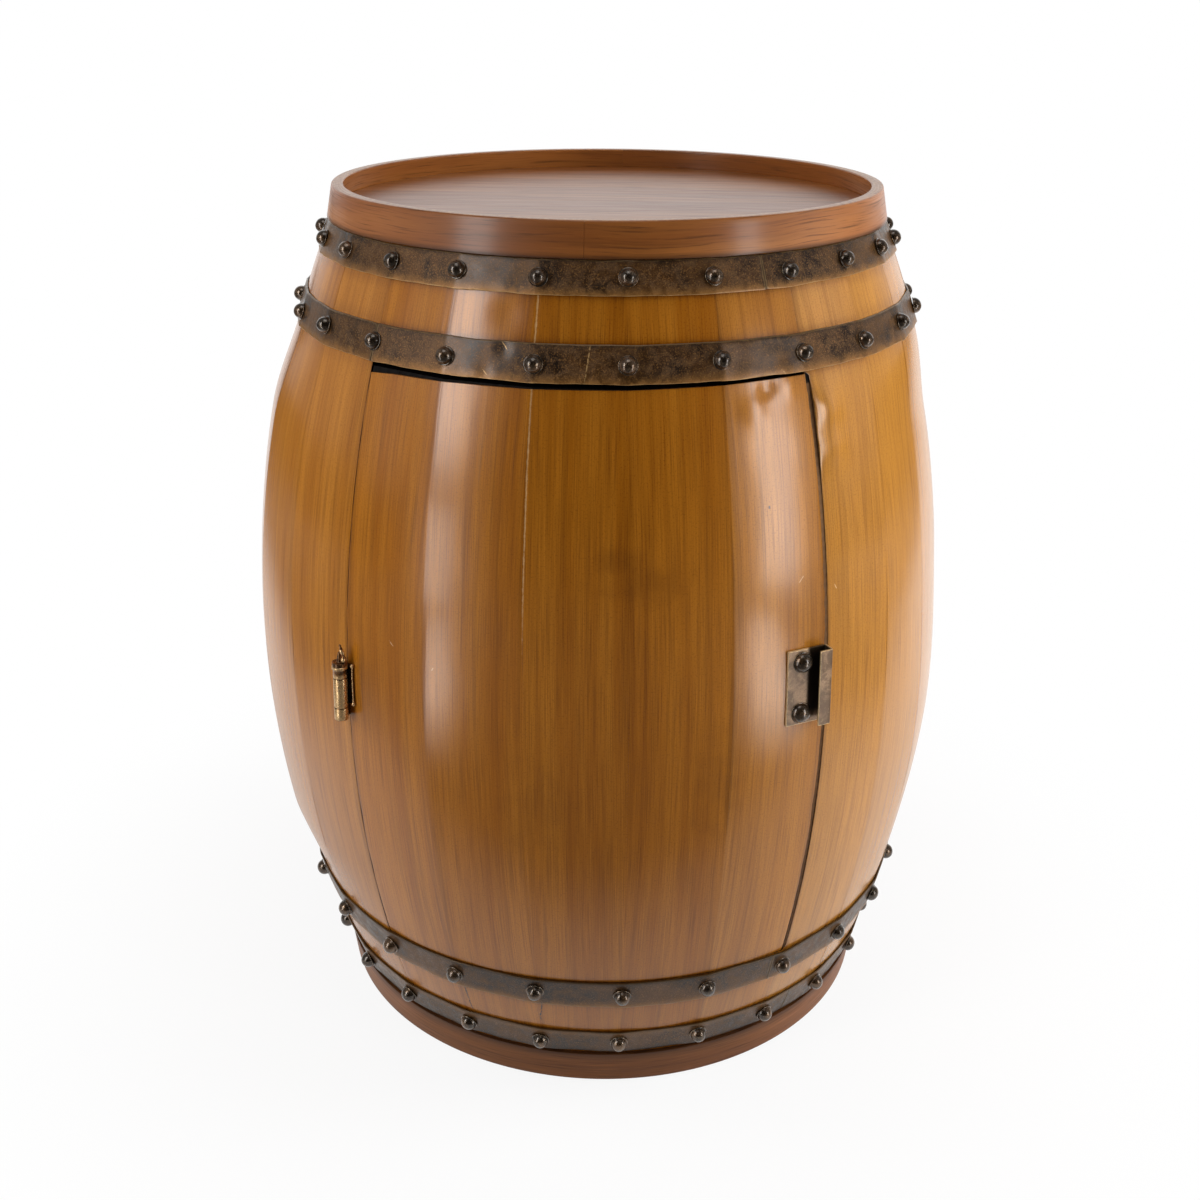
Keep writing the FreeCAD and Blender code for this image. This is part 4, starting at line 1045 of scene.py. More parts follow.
def hoop(name, seed):
    # the outline is carried round in strips: its outer face is beaten, and both edges wander
    look = hoopLook
    low, high = hoopEnds[name]
    tall = high - low
    shares, depths = hoopOutline(tall)
    turn = 2 * math.pi / look["strips"]
    gapAngle = cask["seamGap"] / 2 / float(faceRadius(high))
    count = cask["facets"] // look["strips"] * look["stepsPerFacet"] + 1
    parts = []
    for strip in range(look["strips"]):
        start = look["jointShares"][name] * facetAngle + strip * turn
        angle = np.linspace(start + gapAngle, start + turn - gapAngle, count)[:, None]
        around = angle * bellyFace
        foot, head = [ripple(around, 0 * around, seed + strip + step, length, look["edgeWander"])
                      for step, length in zip((0, 50), look["wanderLengths"])]
        height = low + shares * tall + foot * (1 - shares) + head * shares
        beaten = ripple(around, height, seed + 10, look["beatLength"], look["beatHeight"])
        beaten = beaten + ripple(around, height, seed + 20, look["waveLength"], look["waveHeight"])
        for spotAlong, spotHeight, reach, depth in look["dents"].get(name, []):
            away = ((around - spotAlong) ** 2 + (height - spotHeight) ** 2) / reach ** 2
            beaten = beaten - depth * np.exp(-away)
        radius = hoopRadius(angle, low, high, shares) + depths + np.where(depths > 0, beaten, 0)
        nearEdge = np.minimum(shares, 1 - shares) * tall + 0 * angle
        nearEnd = np.minimum(angle - angle[0], angle[-1] - angle) * bellyFace + 0 * shares
        values = {
            "edge": look["edgeWear"] * np.exp(-np.minimum(nearEdge, nearEnd) / look["edgeReach"]),
            "gilt": hoopGilt(name, shares + 0 * angle),
            "grime": hoopShadeDirt(name, shares, nearEnd),
        }
        uv = np.stack(np.broadcast_arrays(around, height), -1)
        parts.append((turnRound(angle, radius, 0.0, height), uv, values))
    tubePiece(f"{name}HoopBand", parts, "root", patinaMetal, [f"{name}_hoop"], flipped=True)


def hoopGilt(name, share):
    # the patina thins to gold towards the edge that the sponge missed: the foot, or the bottom hoop's head
    look = hoopLook
    edge = share if name == "bottom" else 1 - share
    reached = np.clip((edge - look["giltFrom"]) / (1 - look["giltFrom"]), 0, 1)
    return reached ** look["giltPower"] * look["giltShare"]


def hoopShadeDirt(name, share, nearEnd):
    # painted shade in the corner under the rim, along the upper edges, over the lower hoops and at the bottom
    # hoop's foot, and dark joints
    look = hoopLook
    upper = look["shadeUpper"] * np.exp(-(1 - share) / look["shadeUpperReach"])
    lower = np.exp(-share / look["shadeFootReach"]) if name == "bottom" else 0
    joint = np.exp(-nearEnd / look["soilJointReach"])
    return np.clip(look["shadeDirtBase"][name] + upper + lower + joint, 0, 1)


for index, name in enumerate(hoopEnds):
    hoop(name, 300 + 100 * index)
print("hoops made")


# Nails: turned heads on shanks, each a little different, on every seam of every hoop
nailLook = {
    "headRadius": 0.0063,
    "headHeight": 0.0063,
    "flange": 0.0006,
    "flangeRound": 0.00025,
    "shankRadius": 0.0012,
    "length": 0.014,
    "around": 20,
    "jitter": 0.0006,
    "tilt": 0.05,
    "beat": 0.045,
    "beatTurns": (2, 3, 5),
    "tallness": 0.05,
    "shoulder": 0.92,
    "crownFlat": 1.05,
    "domeSteps": 9,
    "flangeReflection": 0.0004,
    "crownWear": 0.0012,
    "crownShare": 0.5,
}


def headProfile(radius, height):
    # radius and height from the shank's point up to the crown: shank, flange, then a dome whose
    # shoulder is fuller than a sphere's: r = R cos(t)^shoulder, z = H sin(t)^crownFlat
    look = nailLook
    turn = np.linspace(0, math.pi / 2, look["domeSteps"])[:-1]
    domeRadius = (radius - look["flange"]) * np.cos(turn) ** look["shoulder"]
    domeHeight = look["flange"] + (height - look["flange"]) * np.sin(turn) ** look["crownFlat"]
    rings = np.concatenate([[look["shankRadius"] * 0.1, look["shankRadius"], look["shankRadius"],
                             radius - look["flangeRound"], radius, radius, radius - look["flangeRound"]],
                            domeRadius, [radius * 0.05]])
    levels = np.concatenate([[-look["length"], -look["length"] * 0.8, 0, 0, look["flangeRound"],
                              look["flange"] - look["flangeRound"], look["flange"]],
                             domeHeight, [height]])
    return rings, levels


def nails(name, spots, outs, ups, radius, height, seed, body, replaced):
    # spots are the seats, outs the axes and ups a direction square to each; every head is the turned
    # profile with its own slow dents, placed by its three axes
    look = nailLook
    count = len(spots)
    draw = np.random.default_rng(seed)
    rings, levels = headProfile(radius, height)
    angle = np.linspace(0, 2 * math.pi, look["around"], endpoint=False)
    beat = sum(draw.normal(0, look["beat"] / turns, (count, 1, 1))
               * np.cos(turns * angle[None, None, :] + draw.uniform(0, 6.28, (count, 1, 1)))
               for turns in look["beatTurns"])
    headShare = np.clip(levels / height, 0, 1)[None, :, None]
    reach = rings[None, :, None] * (1 + beat * headShare * (1 - headShare) * 4)
    taller = draw.normal(0, look["tallness"], (count, 1, 1)) * (levels > 0)[None, :, None]
    tall = levels[None, :, None] * (1 + taller)
    outs = outs + draw.normal(0, look["tilt"], outs.shape)
    outs = outs / np.linalg.norm(outs, axis=1, keepdims=True)
    sides = np.cross(ups, outs)
    sides = sides / np.linalg.norm(sides, axis=1, keepdims=True)
    ups = np.cross(outs, sides)
    shift = draw.normal(0, look["jitter"], (count, 2)).clip(-2 * look["jitter"], 2 * look["jitter"])
    seats = spots + sides * shift[:, :1] + ups * shift[:, 1:]
    points = (seats[:, None, None, :]
              + (reach * np.cos(angle))[..., None] * sides[:, None, None, :]
              + (reach * np.sin(angle))[..., None] * ups[:, None, None, :]
              + (tall + 0 * angle)[..., None] * outs[:, None, None, :])
    # the pale ring round the flange is a painted reflection, the crown is rubbed
    flange = np.exp(-np.abs(levels - look["flange"] / 2) / look["flangeReflection"]) * (rings > radius * 0.8)
    crown = look["crownShare"] * np.exp(-(height - levels) / look["crownWear"])
    edge = np.broadcast_to(np.clip(flange + crown, 0, 1)[None, :, None], reach.shape)
    faces = latheFaces(len(rings), look["around"], count)
    makePiece(name, points, faces, body, forgedMetal, replaced, None, {"edge": edge}, smooth=50)


def nailRing(name, hoops, seed, replaced):
    seamAngles = (np.arange(cask["facets"]) + 0.5) * facetAngle
    spots, outs = [], []
    for hoopName in hoops:
        low, high = hoopEnds[hoopName]
        level = (low + high) / 2
        corner = (faceRadius(level) + hoopLook["seat"] + hoopLook["thickness"]) / math.cos(halfFacet)
        lean = leanAt(level)
        spots.append(turnRound(seamAngles, corner, 0.0, level))
        outs.append(turnRound(seamAngles, math.cos(lean), 0.0, math.sin(lean)))
    spots, outs = np.concatenate(spots), np.concatenate(outs)
    ups = np.tile([0.0, 0.0, 1.0], (len(spots), 1))
    nails(name, spots, outs, ups, nailLook["headRadius"], nailLook["headHeight"], seed, "root", replaced)


nailRing("endHoopNails", ("top", "bottom"), 11, ["end_hoop_nails"])
nailRing("innerHoopNails", ("upper", "lower"), 12, ["inner_hoop_nails"])
print("nails made")


# Rims: bent wood in two pieces each, leaning in to a rounded lip
rimLook = {
    "wall": 0.0087,
    "taper": 0.0038,
    "lipRound": 0.0014,
    "heelRound": 0.0005,
    "steps": 150,
    "faceSteps": 7,
    "unevenLength": 0.12,
    "uneven": 0.00012,
    "joints": {"top_rim": 0.0, "base_ring": math.pi / 2},
    "lipWear": 0.0012,
    "endWear": 0.3,
    "endWearReach": 0.0004,
    "cornerSteps": 5,
    "jointGap": 0.00006,
    "shadeDirtReach": {"top_rim": 0.0016, "base_ring": 0.0042},
}


def roundedLoop(corners, radii, steps):
    # a closed outline through its corners, each cut by an arc-like curve between the points that lie
    # a radius away along both sides
    corners = np.asarray(corners, dtype=float)
    before = np.roll(corners, 1, axis=0) - corners
    after = np.roll(corners, -1, axis=0) - corners
    before /= np.linalg.norm(before, axis=1, keepdims=True)
    after /= np.linalg.norm(after, axis=1, keepdims=True)
    radii = np.asarray(radii, dtype=float)[:, None, None]
    share = np.linspace(0, 1, steps)[None, :, None]
    start = corners[:, None] + before[:, None] * radii
    finish = corners[:, None] + after[:, None] * radii
    middle = corners[:, None]
    return ((1 - share) ** 2 * start + 2 * share * (1 - share) * middle + share ** 2 * finish).reshape(-1, 2)


def divided(loop, longest):
    # the same closed outline with its long sides divided evenly
    after = np.roll(loop, -1, axis=0)
    counts = np.maximum(1, np.ceil(np.linalg.norm(after - loop, axis=1) / longest)).astype(int)
    owner = np.repeat(np.arange(len(loop)), counts)
    within = np.concatenate([np.arange(count) / count for count in counts])
    return loop[owner] + within[:, None] * (after - loop)[owner]


def rim(node, name, seed, material):
    # the outline leans by the taper from its foot to its lip, and is carried round in two halves:
    # x = (r + unevenness) sin a, y = -(r + unevenness) cos a
    look = rimLook
    low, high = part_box(node)
    foot, wall, taper, heel, lip = high.x, look["wall"], look["taper"], look["heelRound"], look["lipRound"]
    if node == "top_rim":
        lipLevel = high.z
        corners = [(foot, low.z), (foot - taper, high.z), (foot - taper - wall, high.z), (foot - wall, low.z)]
        radii = [heel, lip, lip, heel]
    else:
        lipLevel = low.z
        corners = [(foot - taper, low.z), (foot, high.z), (foot - wall, high.z), (foot - taper - wall, low.z)]
        radii = [lip, heel, heel, lip]
    loop = divided(roundedLoop(corners, radii, look["cornerSteps"]), (high.z - low.z) / look["faceSteps"])
    loop = loop[: len(loop) // 2 * 2]
    along = np.concatenate([[0], np.cumsum(np.linalg.norm(np.diff(loop, axis=0), axis=1))])
    gapAngle = look["jointGap"] / 2 / foot
    parts = []
    for half in range(2):
        start = look["joints"][node] + (half - 1) * math.pi
        angle = np.linspace(start + gapAngle, start + math.pi - gapAngle, look["steps"])[:, None]
        around = angle * foot
        uneven = ripple(around, 0 * around, seed + half, look["unevenLength"], look["uneven"])
        radius = loop[None, :, 0] + uneven
        height = loop[None, :, 1] + 0 * angle
        nearEnd = np.minimum(angle - angle[0], angle[-1] - angle) * foot
        fromLip = np.abs(height - lipLevel)
        worn = np.exp(-fromLip / look["lipWear"]) + look["endWear"] * np.exp(-nearEnd / look["endWearReach"])
        # painted shade where the rim sits on a hoop: a thin line under the top rim, a wide band along the
        # base ring's top
        shadeAndDirt = np.exp(-((high.z - low.z - fromLip) / look["shadeDirtReach"][node]) ** 2)
        uv = np.stack(np.broadcast_arrays(around + seed, along[None, :]), -1)
        values = {"edge": np.clip(worn, 0, 1), "grime": shadeAndDirt}
        parts.append((turnRound(angle, radius, 0.0, height), uv, values))
    tubePiece(name, parts, "root", material, [node], flipped=True)


rim("top_rim", "topRimWood", 500, rimWood)
rim("base_ring", "baseRingWood", 520, baseWood)
print("rims made")


# The pull: a sheet bent twice, and its two rivets
pullLook = {
    "sheet": 0.0014,
    "plate": 0.029,
    "reach": 0.009,
    "flange": 0.0095,
    "bend": 0.0016,
    "lift": 0.0004,
    "shadeReach": 0.0042,
    "shadeSoftness": 0.0016,
    "shadeFoot": 0.010,
    "rivetRadius": 0.0072,
    "rivetHeight": 0.0055,
    "rivetSpacing": 0.036,
    "rivetInset": 0.018,
    "edgeInset": 0.0004,
    "upSteps": 40,
    "beatLength": 0.02,
    "beatHeight": 0.00006,
    "edgeReach": 0.0009,
    "longestSide": 0.001,
    "cornerSteps": 5,
}


def pull():
    # the sheet's outline in plan, drawn across and out from the door's last facet, carried up
    look = pullLook
    low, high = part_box("pull_handle")
    angle = halfDoor * facetAngle
    right = bellyFace * math.tan(halfFacet) - cask["latchGap"] / math.cos(halfFacet) - look["edgeInset"]
    right = right + float(np.interp(low.z, staveLook["latchHeights"], staveLook["latchShifts"]))
    back = bellyFace + look["lift"]
    front, outside = back + look["sheet"], back + look["reach"]
    inside = outside - look["sheet"]
    plateEnd, flangeEnd, legInside = right - look["plate"], right - look["flange"], right - look["sheet"]
    corners = [(plateEnd, back), (right, back), (right, outside), (flangeEnd, outside),
               (flangeEnd, inside), (legInside, inside), (legInside, front), (plateEnd, front)]
    fine = look["sheet"] / 5
    radii = [fine, look["bend"], look["bend"], fine, fine, fine, fine, fine]
    loop = divided(roundedLoop(corners, radii, look["cornerSteps"]), look["longestSide"])[::-1]
    loop = loop[: len(loop) // 2 * 2]
    share = np.sin(np.linspace(-math.pi / 2, math.pi / 2, look["upSteps"]))[:, None]
    middle = (low.z + high.z) / 2
    height = middle + share * (high.z - low.z) / 2
    across = loop[None, :, 0] + 0 * height
    radius = loop[None, :, 1] + 0 * height
    radius = radius + ripple(across, height + 0 * across, 71, look["beatLength"], look["beatHeight"])
    part = turnRound(angle, radius, across, height + 0 * across)
    faces = tubeFaces(part.shape[0], part.shape[1])
    ends = np.minimum(height - low.z, high.z - height)
    atFlange = np.abs(across - flangeEnd) + np.where(radius > inside - look["sheet"], 0, 1)
    sides = np.minimum(np.abs(across - plateEnd), atFlange)
    bendEdge = np.hypot(across - right, radius - outside)
    # the bright edges and outer bend are rubbed metal and a painted highlight
    edge = np.exp(-np.minimum(np.minimum(ends, sides), bendEdge) / look["edgeReach"])
    # painted shade in the channel behind the flange and on the plate beside it
    beside = (across - (flangeEnd - look["shadeReach"])) / look["shadeSoftness"]
    within = (radius < inside + look["sheet"] / 4) * (across < right - look["sheet"] / 2)
    shadeAndDirt = np.clip(0.5 + beside, 0, 1) * within
    shadeAndDirt = shadeAndDirt * smoothStep(height, low.z + look["shadeFoot"] / 3, low.z + look["shadeFoot"])
    makePiece("pullHandleSheet", part, faces.tolist(), "door", pullBronze, ["pull_handle"],
              None, {"edge": edge, "grime": shadeAndDirt}, smooth=35)
    levels = middle + np.array([-0.5, 0.5]) * look["rivetSpacing"]
    spots = turnRound(angle, np.array([front, front]), right - look["rivetInset"], levels)
    outs = np.tile([math.sin(angle), -math.cos(angle), 0.0], (2, 1))
    ups = np.tile([0.0, 0.0, 1.0], (2, 1))
    nails("pullRivets", spots, outs, ups, look["rivetRadius"], look["rivetHeight"], 31, "door",
          ["pull_rivets"])


pull()
print("pull made")


# Hinge leaves and pin: the CAD solids with their edges eased; angles in degrees
easeLook = {
    "weld": 0.000005,
    "flat": 1,
    "smooth": 35,
    "eased": 40,
    "segments": 2,
    "leafWidth": 0.00022,
    "pinWidth": 0.0003,
}


def easedCopy(node, name, body, material, width):
    look = easeLook
    mesh = frame["nodes"][node].data.copy()
    mesh.name = name
    work = bpy.data.objects.new(name, mesh)
    bpy.context.scene.collection.objects.link(work)
    grid = bmesh.new()
    grid.from_mesh(mesh)
    bmesh.ops.remove_doubles(grid, verts=grid.verts, dist=look["weld"])
    bmesh.ops.dissolve_limit(grid, angle_limit=math.radians(look["flat"]), verts=grid.verts, edges=grid.edges)
    bmesh.ops.recalc_face_normals(grid, faces=grid.faces)
    grid.to_mesh(mesh)
    grid.free()
    mesh.materials.clear()
    mesh.materials.append(material)
    mesh.shade_smooth()
    mesh.set_sharp_from_angle(angle=math.radians(look["smooth"]))
    ease = work.modifiers.new("easedEdges", "BEVEL")
    ease.width = width
    ease.segments = look["segments"]
    ease.limit_method = "ANGLE"
    ease.angle_limit = math.radians(look["eased"])
    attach(work, body)
    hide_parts(node)


easedCopy("hinge_frame_leaf", "hingeFrameLeaf", "root", antiqueBrass, easeLook["leafWidth"])
easedCopy("hinge_door_leaf", "hingeDoorLeaf", "door", antiqueBrass, easeLook["leafWidth"])
easedCopy("hinge_pin", "hingePin", "root", antiqueBrass, easeLook["pinWidth"])

# The hinge's barrel: a turned shell over each knuckle, with worn ends, painted dark as shade where the
# knuckles meet, and a flared mouth on the top one, painted bright over the flare as a highlight and dark
# inside as shade. Beside it are the door leaf's plate, painted dark as shade, and its rolled edge, and the
# pin's twisted end
knuckleLook = {
    "skin": 0.00012,
    "endRound": 0.0006,
    "flare": 0.0007,
    "flareHeight": 0.0030,
    "mouthWall": 0.0011,
    "mouthDepth": 0.0016,
    "around": 32,
    "cornerSteps": 5,
    "wear": 1.2,
    "wearReach": 0.0005,
    "shadeAndDirt": 0.9,
    "leafClearance": 0.0062,
    "rod": 0.0005,
    "knob": 0.0014,
    "edgeAway": 0.0062,
    "edgeOut": 0.0011,
    "edgeRise": 0.0095,
    "edgeSteps": 40,
    "plateStart": 0.0012,
    "plateSteps": 12,
    "wireAround": 14,
    "twistAside": 0.0030,
    "twistLean": 0.0026,
    "twistHigh": 0.0165,
    "twistRadius": 0.0018,
    "twistSteps": 26,
    "twistCurl": 1.25,
    "twistTaper": 0.45,
    "twistKnots": 0.25,
    "knotTurns": 19.0,
}


def wirePiece(name, points, body, values):
    # a turned or carried round shape of the hinge, which the solids don't have
    makePiece(name, points, latheFaces(*points.shape[:2]), body, antiqueBrass, (), None,
              values, smooth=50)


def knuckle(name, axis, low, high, radius, body, flared):
    # a turned profile round the hinge's axis, from its rounded foot up to its rounded or flared head:
    # x = x0 + r cos t, y = y0 + r sin t
    look = knuckleLook
    turn = np.linspace(0, math.pi / 2, look["cornerSteps"])
    corner = look["endRound"]
    foot = low + corner * (1 - np.sin(turn[::-1]))
    rings = [np.array([radius * 0.2]), radius - corner * (1 - np.cos(turn[::-1]))]
    levels = [np.array([low]), foot]
    if flared:
        wide, wall, flare = radius + look["flare"], look["mouthWall"], look["flareHeight"]
        mouth = high - look["mouthDepth"]
        rings.append(np.array([radius, radius + look["flare"] * 0.4, wide, wide, wide - wall * 0.4,
                               wide - wall, wide - wall * 1.2, radius * 0.2]))
        levels.append(np.array([high - flare, high - flare * 0.8, high - flare * 0.6, high - corner / 2,
                                high, high - corner / 3, mouth, mouth]))
    else:
        rings += [radius - corner * (1 - np.cos(turn)), np.array([radius * 0.2])]
        levels += [high - corner * (1 - np.sin(turn)), np.array([high])]
    rings, levels = np.concatenate(rings), np.concatenate(levels)
    angle = np.linspace(0, 2 * math.pi, look["around"], endpoint=False)
    points = np.stack([axis[0] + rings[:, None] * np.cos(angle), axis[1] + rings[:, None] * np.sin(angle),
                       levels[:, None] + 0 * angle], -1)
    fromEnd = np.minimum(levels - low, high - levels)
    # over the flare the bright rubbed colour is widened into a painted highlight
    reach = np.where(flared & (levels > (low + high) / 2), look["flareHeight"] * 0.6, look["wearReach"])
    edge = look["wear"] * np.exp(-((fromEnd - corner) / reach) ** 2)
    # inside the mouth and at the knuckles' ends the dark is painted shade
    shadeAndDirt = np.where((rings < radius * 0.92) | (fromEnd < corner * 0.4) & ~flared, look["shadeAndDirt"], 0.0)
    values = {"edge": edge, "grime": shadeAndDirt}
    values = {key: np.broadcast_to(value[:, None], points.shape[:2]) for key, value in values.items()}
    wirePiece(name, points, body, values)


def leafEdge(low, high):
    # the door leaf's face beside the barrel, painted nearly black as shade, and its rolled edge: a thin rod
    # with a ball at each end, drawn across and out from the door's first facet: the radius is the rod's, or
    # the ball's k sqrt(1 - (d / k - 1)^2) at the distance d from an end
    look = knuckleLook
    level = np.linspace(0, 1, look["edgeSteps"])
    fromEnd = np.minimum(level, 1 - level) * (high - low)
    ball = look["knob"] * np.sqrt(np.clip(1 - (fromEnd / look["knob"] - 1) ** 2, 0, 1))
    swell = ball * (fromEnd < 2 * look["knob"])
    rings = np.maximum(swell, look["rod"])[:, None] * np.where(fromEnd > 0, 1, 0.3)[:, None]
    turn = np.linspace(0, 2 * math.pi, look["wireAround"], endpoint=False)
    height = low + level[:, None] * (high - low) + 0 * turn
    facet = -halfDoor * facetAngle
    hinge = -math.tan(halfFacet)
    across = faceRadius(height) * hinge + look["edgeAway"] + rings * np.cos(turn)
    out = faceRadius(height) + look["edgeOut"] - rings * np.sin(turn)
    points = turnRound(facet, out, across, height)
    worn = np.full(points.shape[:2], look["wear"])
    wirePiece("hingeLeafEdge", points, "door", {"edge": worn, "grime": 0 * worn})
    # the plate's outline, carried up: its face stands on the door and ends in the rod
    corners = np.array([[look["plateStart"], look["edgeOut"]], [look["edgeAway"], look["edgeOut"]],
                        [look["edgeAway"], 0.0], [look["plateStart"], 0.0]])
    height = np.linspace(low + look["knob"], high - look["knob"], look["plateSteps"])[:, None]
    across = faceRadius(height) * hinge + corners[None, :, 0]
    points = turnRound(facet, faceRadius(height) + corners[None, :, 1], across, height + 0 * across)
    # the whole plate is painted dark as shade
    shadeAndDirt = np.ones(points.shape[:2])
    makePiece("hingeLeafPlate", points, tubeFaces(*points.shape[:2]).tolist(), "door",
              antiqueBrass, (), None, {"edge": 0 * shadeAndDirt, "grime": shadeAndDirt}, smooth=30)


def pinTwist(axis, foot):
    # the pin's end was cut and twisted over: a tapering wire that leans over the door and curls back, with
    # knots: at the share s it stands a sin(c pi s) + l s aside, and is R (1 - t s) (1 + k sin(n s)) thick
    look = knuckleLook
    share = np.linspace(0, 1, look["twistSteps"])[:, None]
    knots = np.sin(share * look["knotTurns"])
    aside = look["twistAside"] * np.sin(share * look["twistCurl"] * math.pi) + look["twistLean"] * share
    level = foot + look["twistHigh"] * share
    facing = math.atan2(axis[0], -axis[1])
    right = np.array([math.cos(facing), math.sin(facing), 0.0])
    out = np.array([math.sin(facing), -math.cos(facing), 0.0])
    middle = np.array([axis[0], axis[1], 0.0]) + aside * right + level * np.array([0, 0, 1.0])
    thick = look["twistRadius"] * (1 - look["twistTaper"] * share) * (1 + look["twistKnots"] * knots)
    thick[[0, -1]] *= 0.2
    turn = np.linspace(0, 2 * math.pi, look["wireAround"], endpoint=False)[None, :, None]
    points = middle[:, None, :] + thick[:, :, None] * (np.cos(turn) * right + np.sin(turn) * -out)
    worn = np.broadcast_to(np.where(knots > 0.2, 1.1, 0.2), points.shape[:2])
    wirePiece("hingePinTwist", points, "root", {"edge": worn, "grime": 0.0 * worn})


def knuckles():
    # the knuckles' levels are read from the leaves' points near the pin: each has a foot and a head
    low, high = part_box("hinge_pin")
    axis = np.array([(low.x + high.x) / 2, (low.y + high.y) / 2])
    for node, name, body in (("hinge_frame_leaf", "hingeFrameKnuckle", "root"),
                             ("hinge_door_leaf", "hingeDoorKnuckle", "door")):
        points = nodePoints(node)
        away = np.hypot(points[:, 0] - axis[0], points[:, 1] - axis[1])
        radius = away[away < knuckleLook["leafClearance"]].max()
        levels = np.unique(np.round(points[away < radius * 1.001, 2], 5))
        levels = levels[np.concatenate([[True], np.diff(levels) > 0.001])]
        for order in range(len(levels) // 2):
            start, finish = levels[2 * order], levels[2 * order + 1]
            flared = node == "hinge_frame_leaf" and order == len(levels) // 2 - 1
            knuckle(f"{name}{order + 1}", axis, start, finish, radius + knuckleLook["skin"], body, flared)
            if flared:
                pinTwist(axis, finish - knuckleLook["mouthDepth"])
        if node == "hinge_door_leaf":
            leafEdge(levels[0], levels[-1] + knuckleLook["edgeRise"])


knuckles()
print("hinge made")


# CAD nodes that keep their solids
keptNodes = {
    trayWood: ("top_board", "base_panel"),
    innerWood: ("top_support_ring", "upper_form_ring", "cabinet_floor", "base_board", "hinge_jamb",
                "latch_jamb", "hinge_stile", "latch_stile", "door_top_rail", "door_bottom_rail"),
    zincSteel: ("board_screws", "rim_brads", "cabinet_screws", "door_screws", "catch_pole_plates",
                "strike_plate"),
    catchPlastic: ("catch_case",),
    magnetBlack: ("catch_magnet",),
}
for material, nodes in keptNodes.items():
    for node in nodes:
        materials = frame["nodes"][node].data.materials
        materials.clear()
        materials.append(material)
print("fittings finished")


# Floor, light and camera
stageLook = {
    "floorSize": 12.0,
    "floorColour": (0.86, 0.86, 0.86, 1.0),
    "floorFront": (0.16, 0.15, 0.14, 1.0),
    "floorGlow": 0.88,
    "shadowReach": (0.26, 0.58),
    "frontReach": (-0.44, -0.24),
    "sideReach": (0.85, 0.45),
    "backSpread": 0.46,
    "sheetReach": (0.1, 0.6),
    "sheetLevel": 0.6,
    "worldFrontReach": (-0.9, 0.0),
    "worldBackReach": (0.45, 0.9),
    "worldFront": 0.008,
    "worldSide": 0.20,
    "worldBack": 1.0,
    "lamps": {
        "softboxLeft": {"azimuth": -45.7, "distance": 1.72, "height": 1.0, "size": (0.56, 1.45), "power": 18,
                        "fade": (0.25, 0.3)},
        "stripLeft": {"azimuth": -45.7, "distance": 1.70, "height": 0.19, "size": (0.4, 0.36), "power": 2.0},
        "cardLeft": {"azimuth": -41.5, "distance": 1.13, "height": 0.004, "size": (0.17, 1.10), "power": 2.9,
                     "flat": True, "fade": (0.25, 0.3)},
        "softboxRight": {"azimuth": 57.1, "distance": 1.72, "height": 0.485, "size": (0.36, 1.02),
                         "power": 8.4, "fade": (0.25, 0.15)},
        "cardRight": {"azimuth": 52.0, "distance": 1.13, "height": 0.004, "size": (0.19, 1.10), "power": 3.6,
                      "flat": True, "fade": (0.25, 0.3)},
        "fillLeft": {"azimuth": -97, "distance": 1.8, "height": 0.8, "size": (0.9, 1.3), "power": 19,
                     "gloss": False},
        "fillRight": {"azimuth": 94, "distance": 1.8, "height": 0.8, "size": (0.9, 1.3), "power": 39,
                      "gloss": False},
        "softboxTop": {"azimuth": 0, "distance": 0.6, "height": 2.2, "size": (1.0, 1.0), "power": 5.4},
        "panelLeft": {"azimuth": -67.4, "distance": 1.8, "height": 0.8, "size": (0.5, 1.3), "power": 1.0,
                      "fade": (0.4, 0.3)},
    },
}


def floor():
    look = stageLook
    half = look["floorSize"] / 2
    mesh = bpy.data.meshes.new("studioFloor")
    corners = [(-half, -half, 0), (half, -half, 0), (half, half, 0), (-half, half, 0)]
    mesh.from_pydata(corners, [], [(0, 1, 2, 3)])
    piece = bpy.data.objects.new("studioFloor", mesh)
    bpy.context.scene.collection.objects.link(piece)
    material = bpy.data.materials.new("studioFloorPaint")
    material.use_nodes = True
    tree = material.node_tree
    tree.nodes.clear()
    # a white sheet that runs back under the table; out of the picture, in front and at both sides, the
    # studio's floor is dark, and only the camera sees it white
    ray = addNode(tree, "ShaderNodeLightPath").outputs
    place = coordinates(tree)
    spot = axes(tree, place)
    behind = sums(tree, "MAXIMUM", spot[1], 0.0)
    aside = sums(tree, "SUBTRACT", sums(tree, "ABSOLUTE", spot[0]), times(tree, behind, look["backSpread"]))
    sheet = times(tree, spread(tree, spot[1], *look["frontReach"]), spread(tree, aside, *look["sideReach"]))
    sheet = times(tree, sheet, spread(tree, behind, *look["sheetReach"], look["sheetLevel"], 1.0))
    lit = sums(tree, "MAXIMUM", ray["Is Camera Ray"], sheet)
    paint = tint(tree, lit, look["floorFront"], look["floorColour"])
    plain = addNode(tree, "ShaderNodeBsdfDiffuse", {"Color": paint}).outputs[0]
    glow = addNode(tree, "ShaderNodeEmission", {"Color": (1, 1, 1, 1), "Strength": 1.0}).outputs[0]
    # the camera and mirrors see the lit sheet glow white, less so in the table's own shadow
    glowShare = spread(tree, lengthOf(tree, place), *look["shadowReach"], look["floorGlow"], 1.0)
    mirrored = sums(tree, "MAXIMUM", ray["Is Glossy Ray"], ray["Is Transmission Ray"])
    seen = sums(tree, "MAXIMUM", ray["Is Camera Ray"], times(tree, mirrored, lit))
    share = times(tree, seen, glowShare)
    mixed = addNode(tree, "ShaderNodeMixShader", {0: share, 1: plain, 2: glow}).outputs[0]
    addNode(tree, "ShaderNodeOutputMaterial", {"Surface": mixed})
    mesh.materials.append(material)


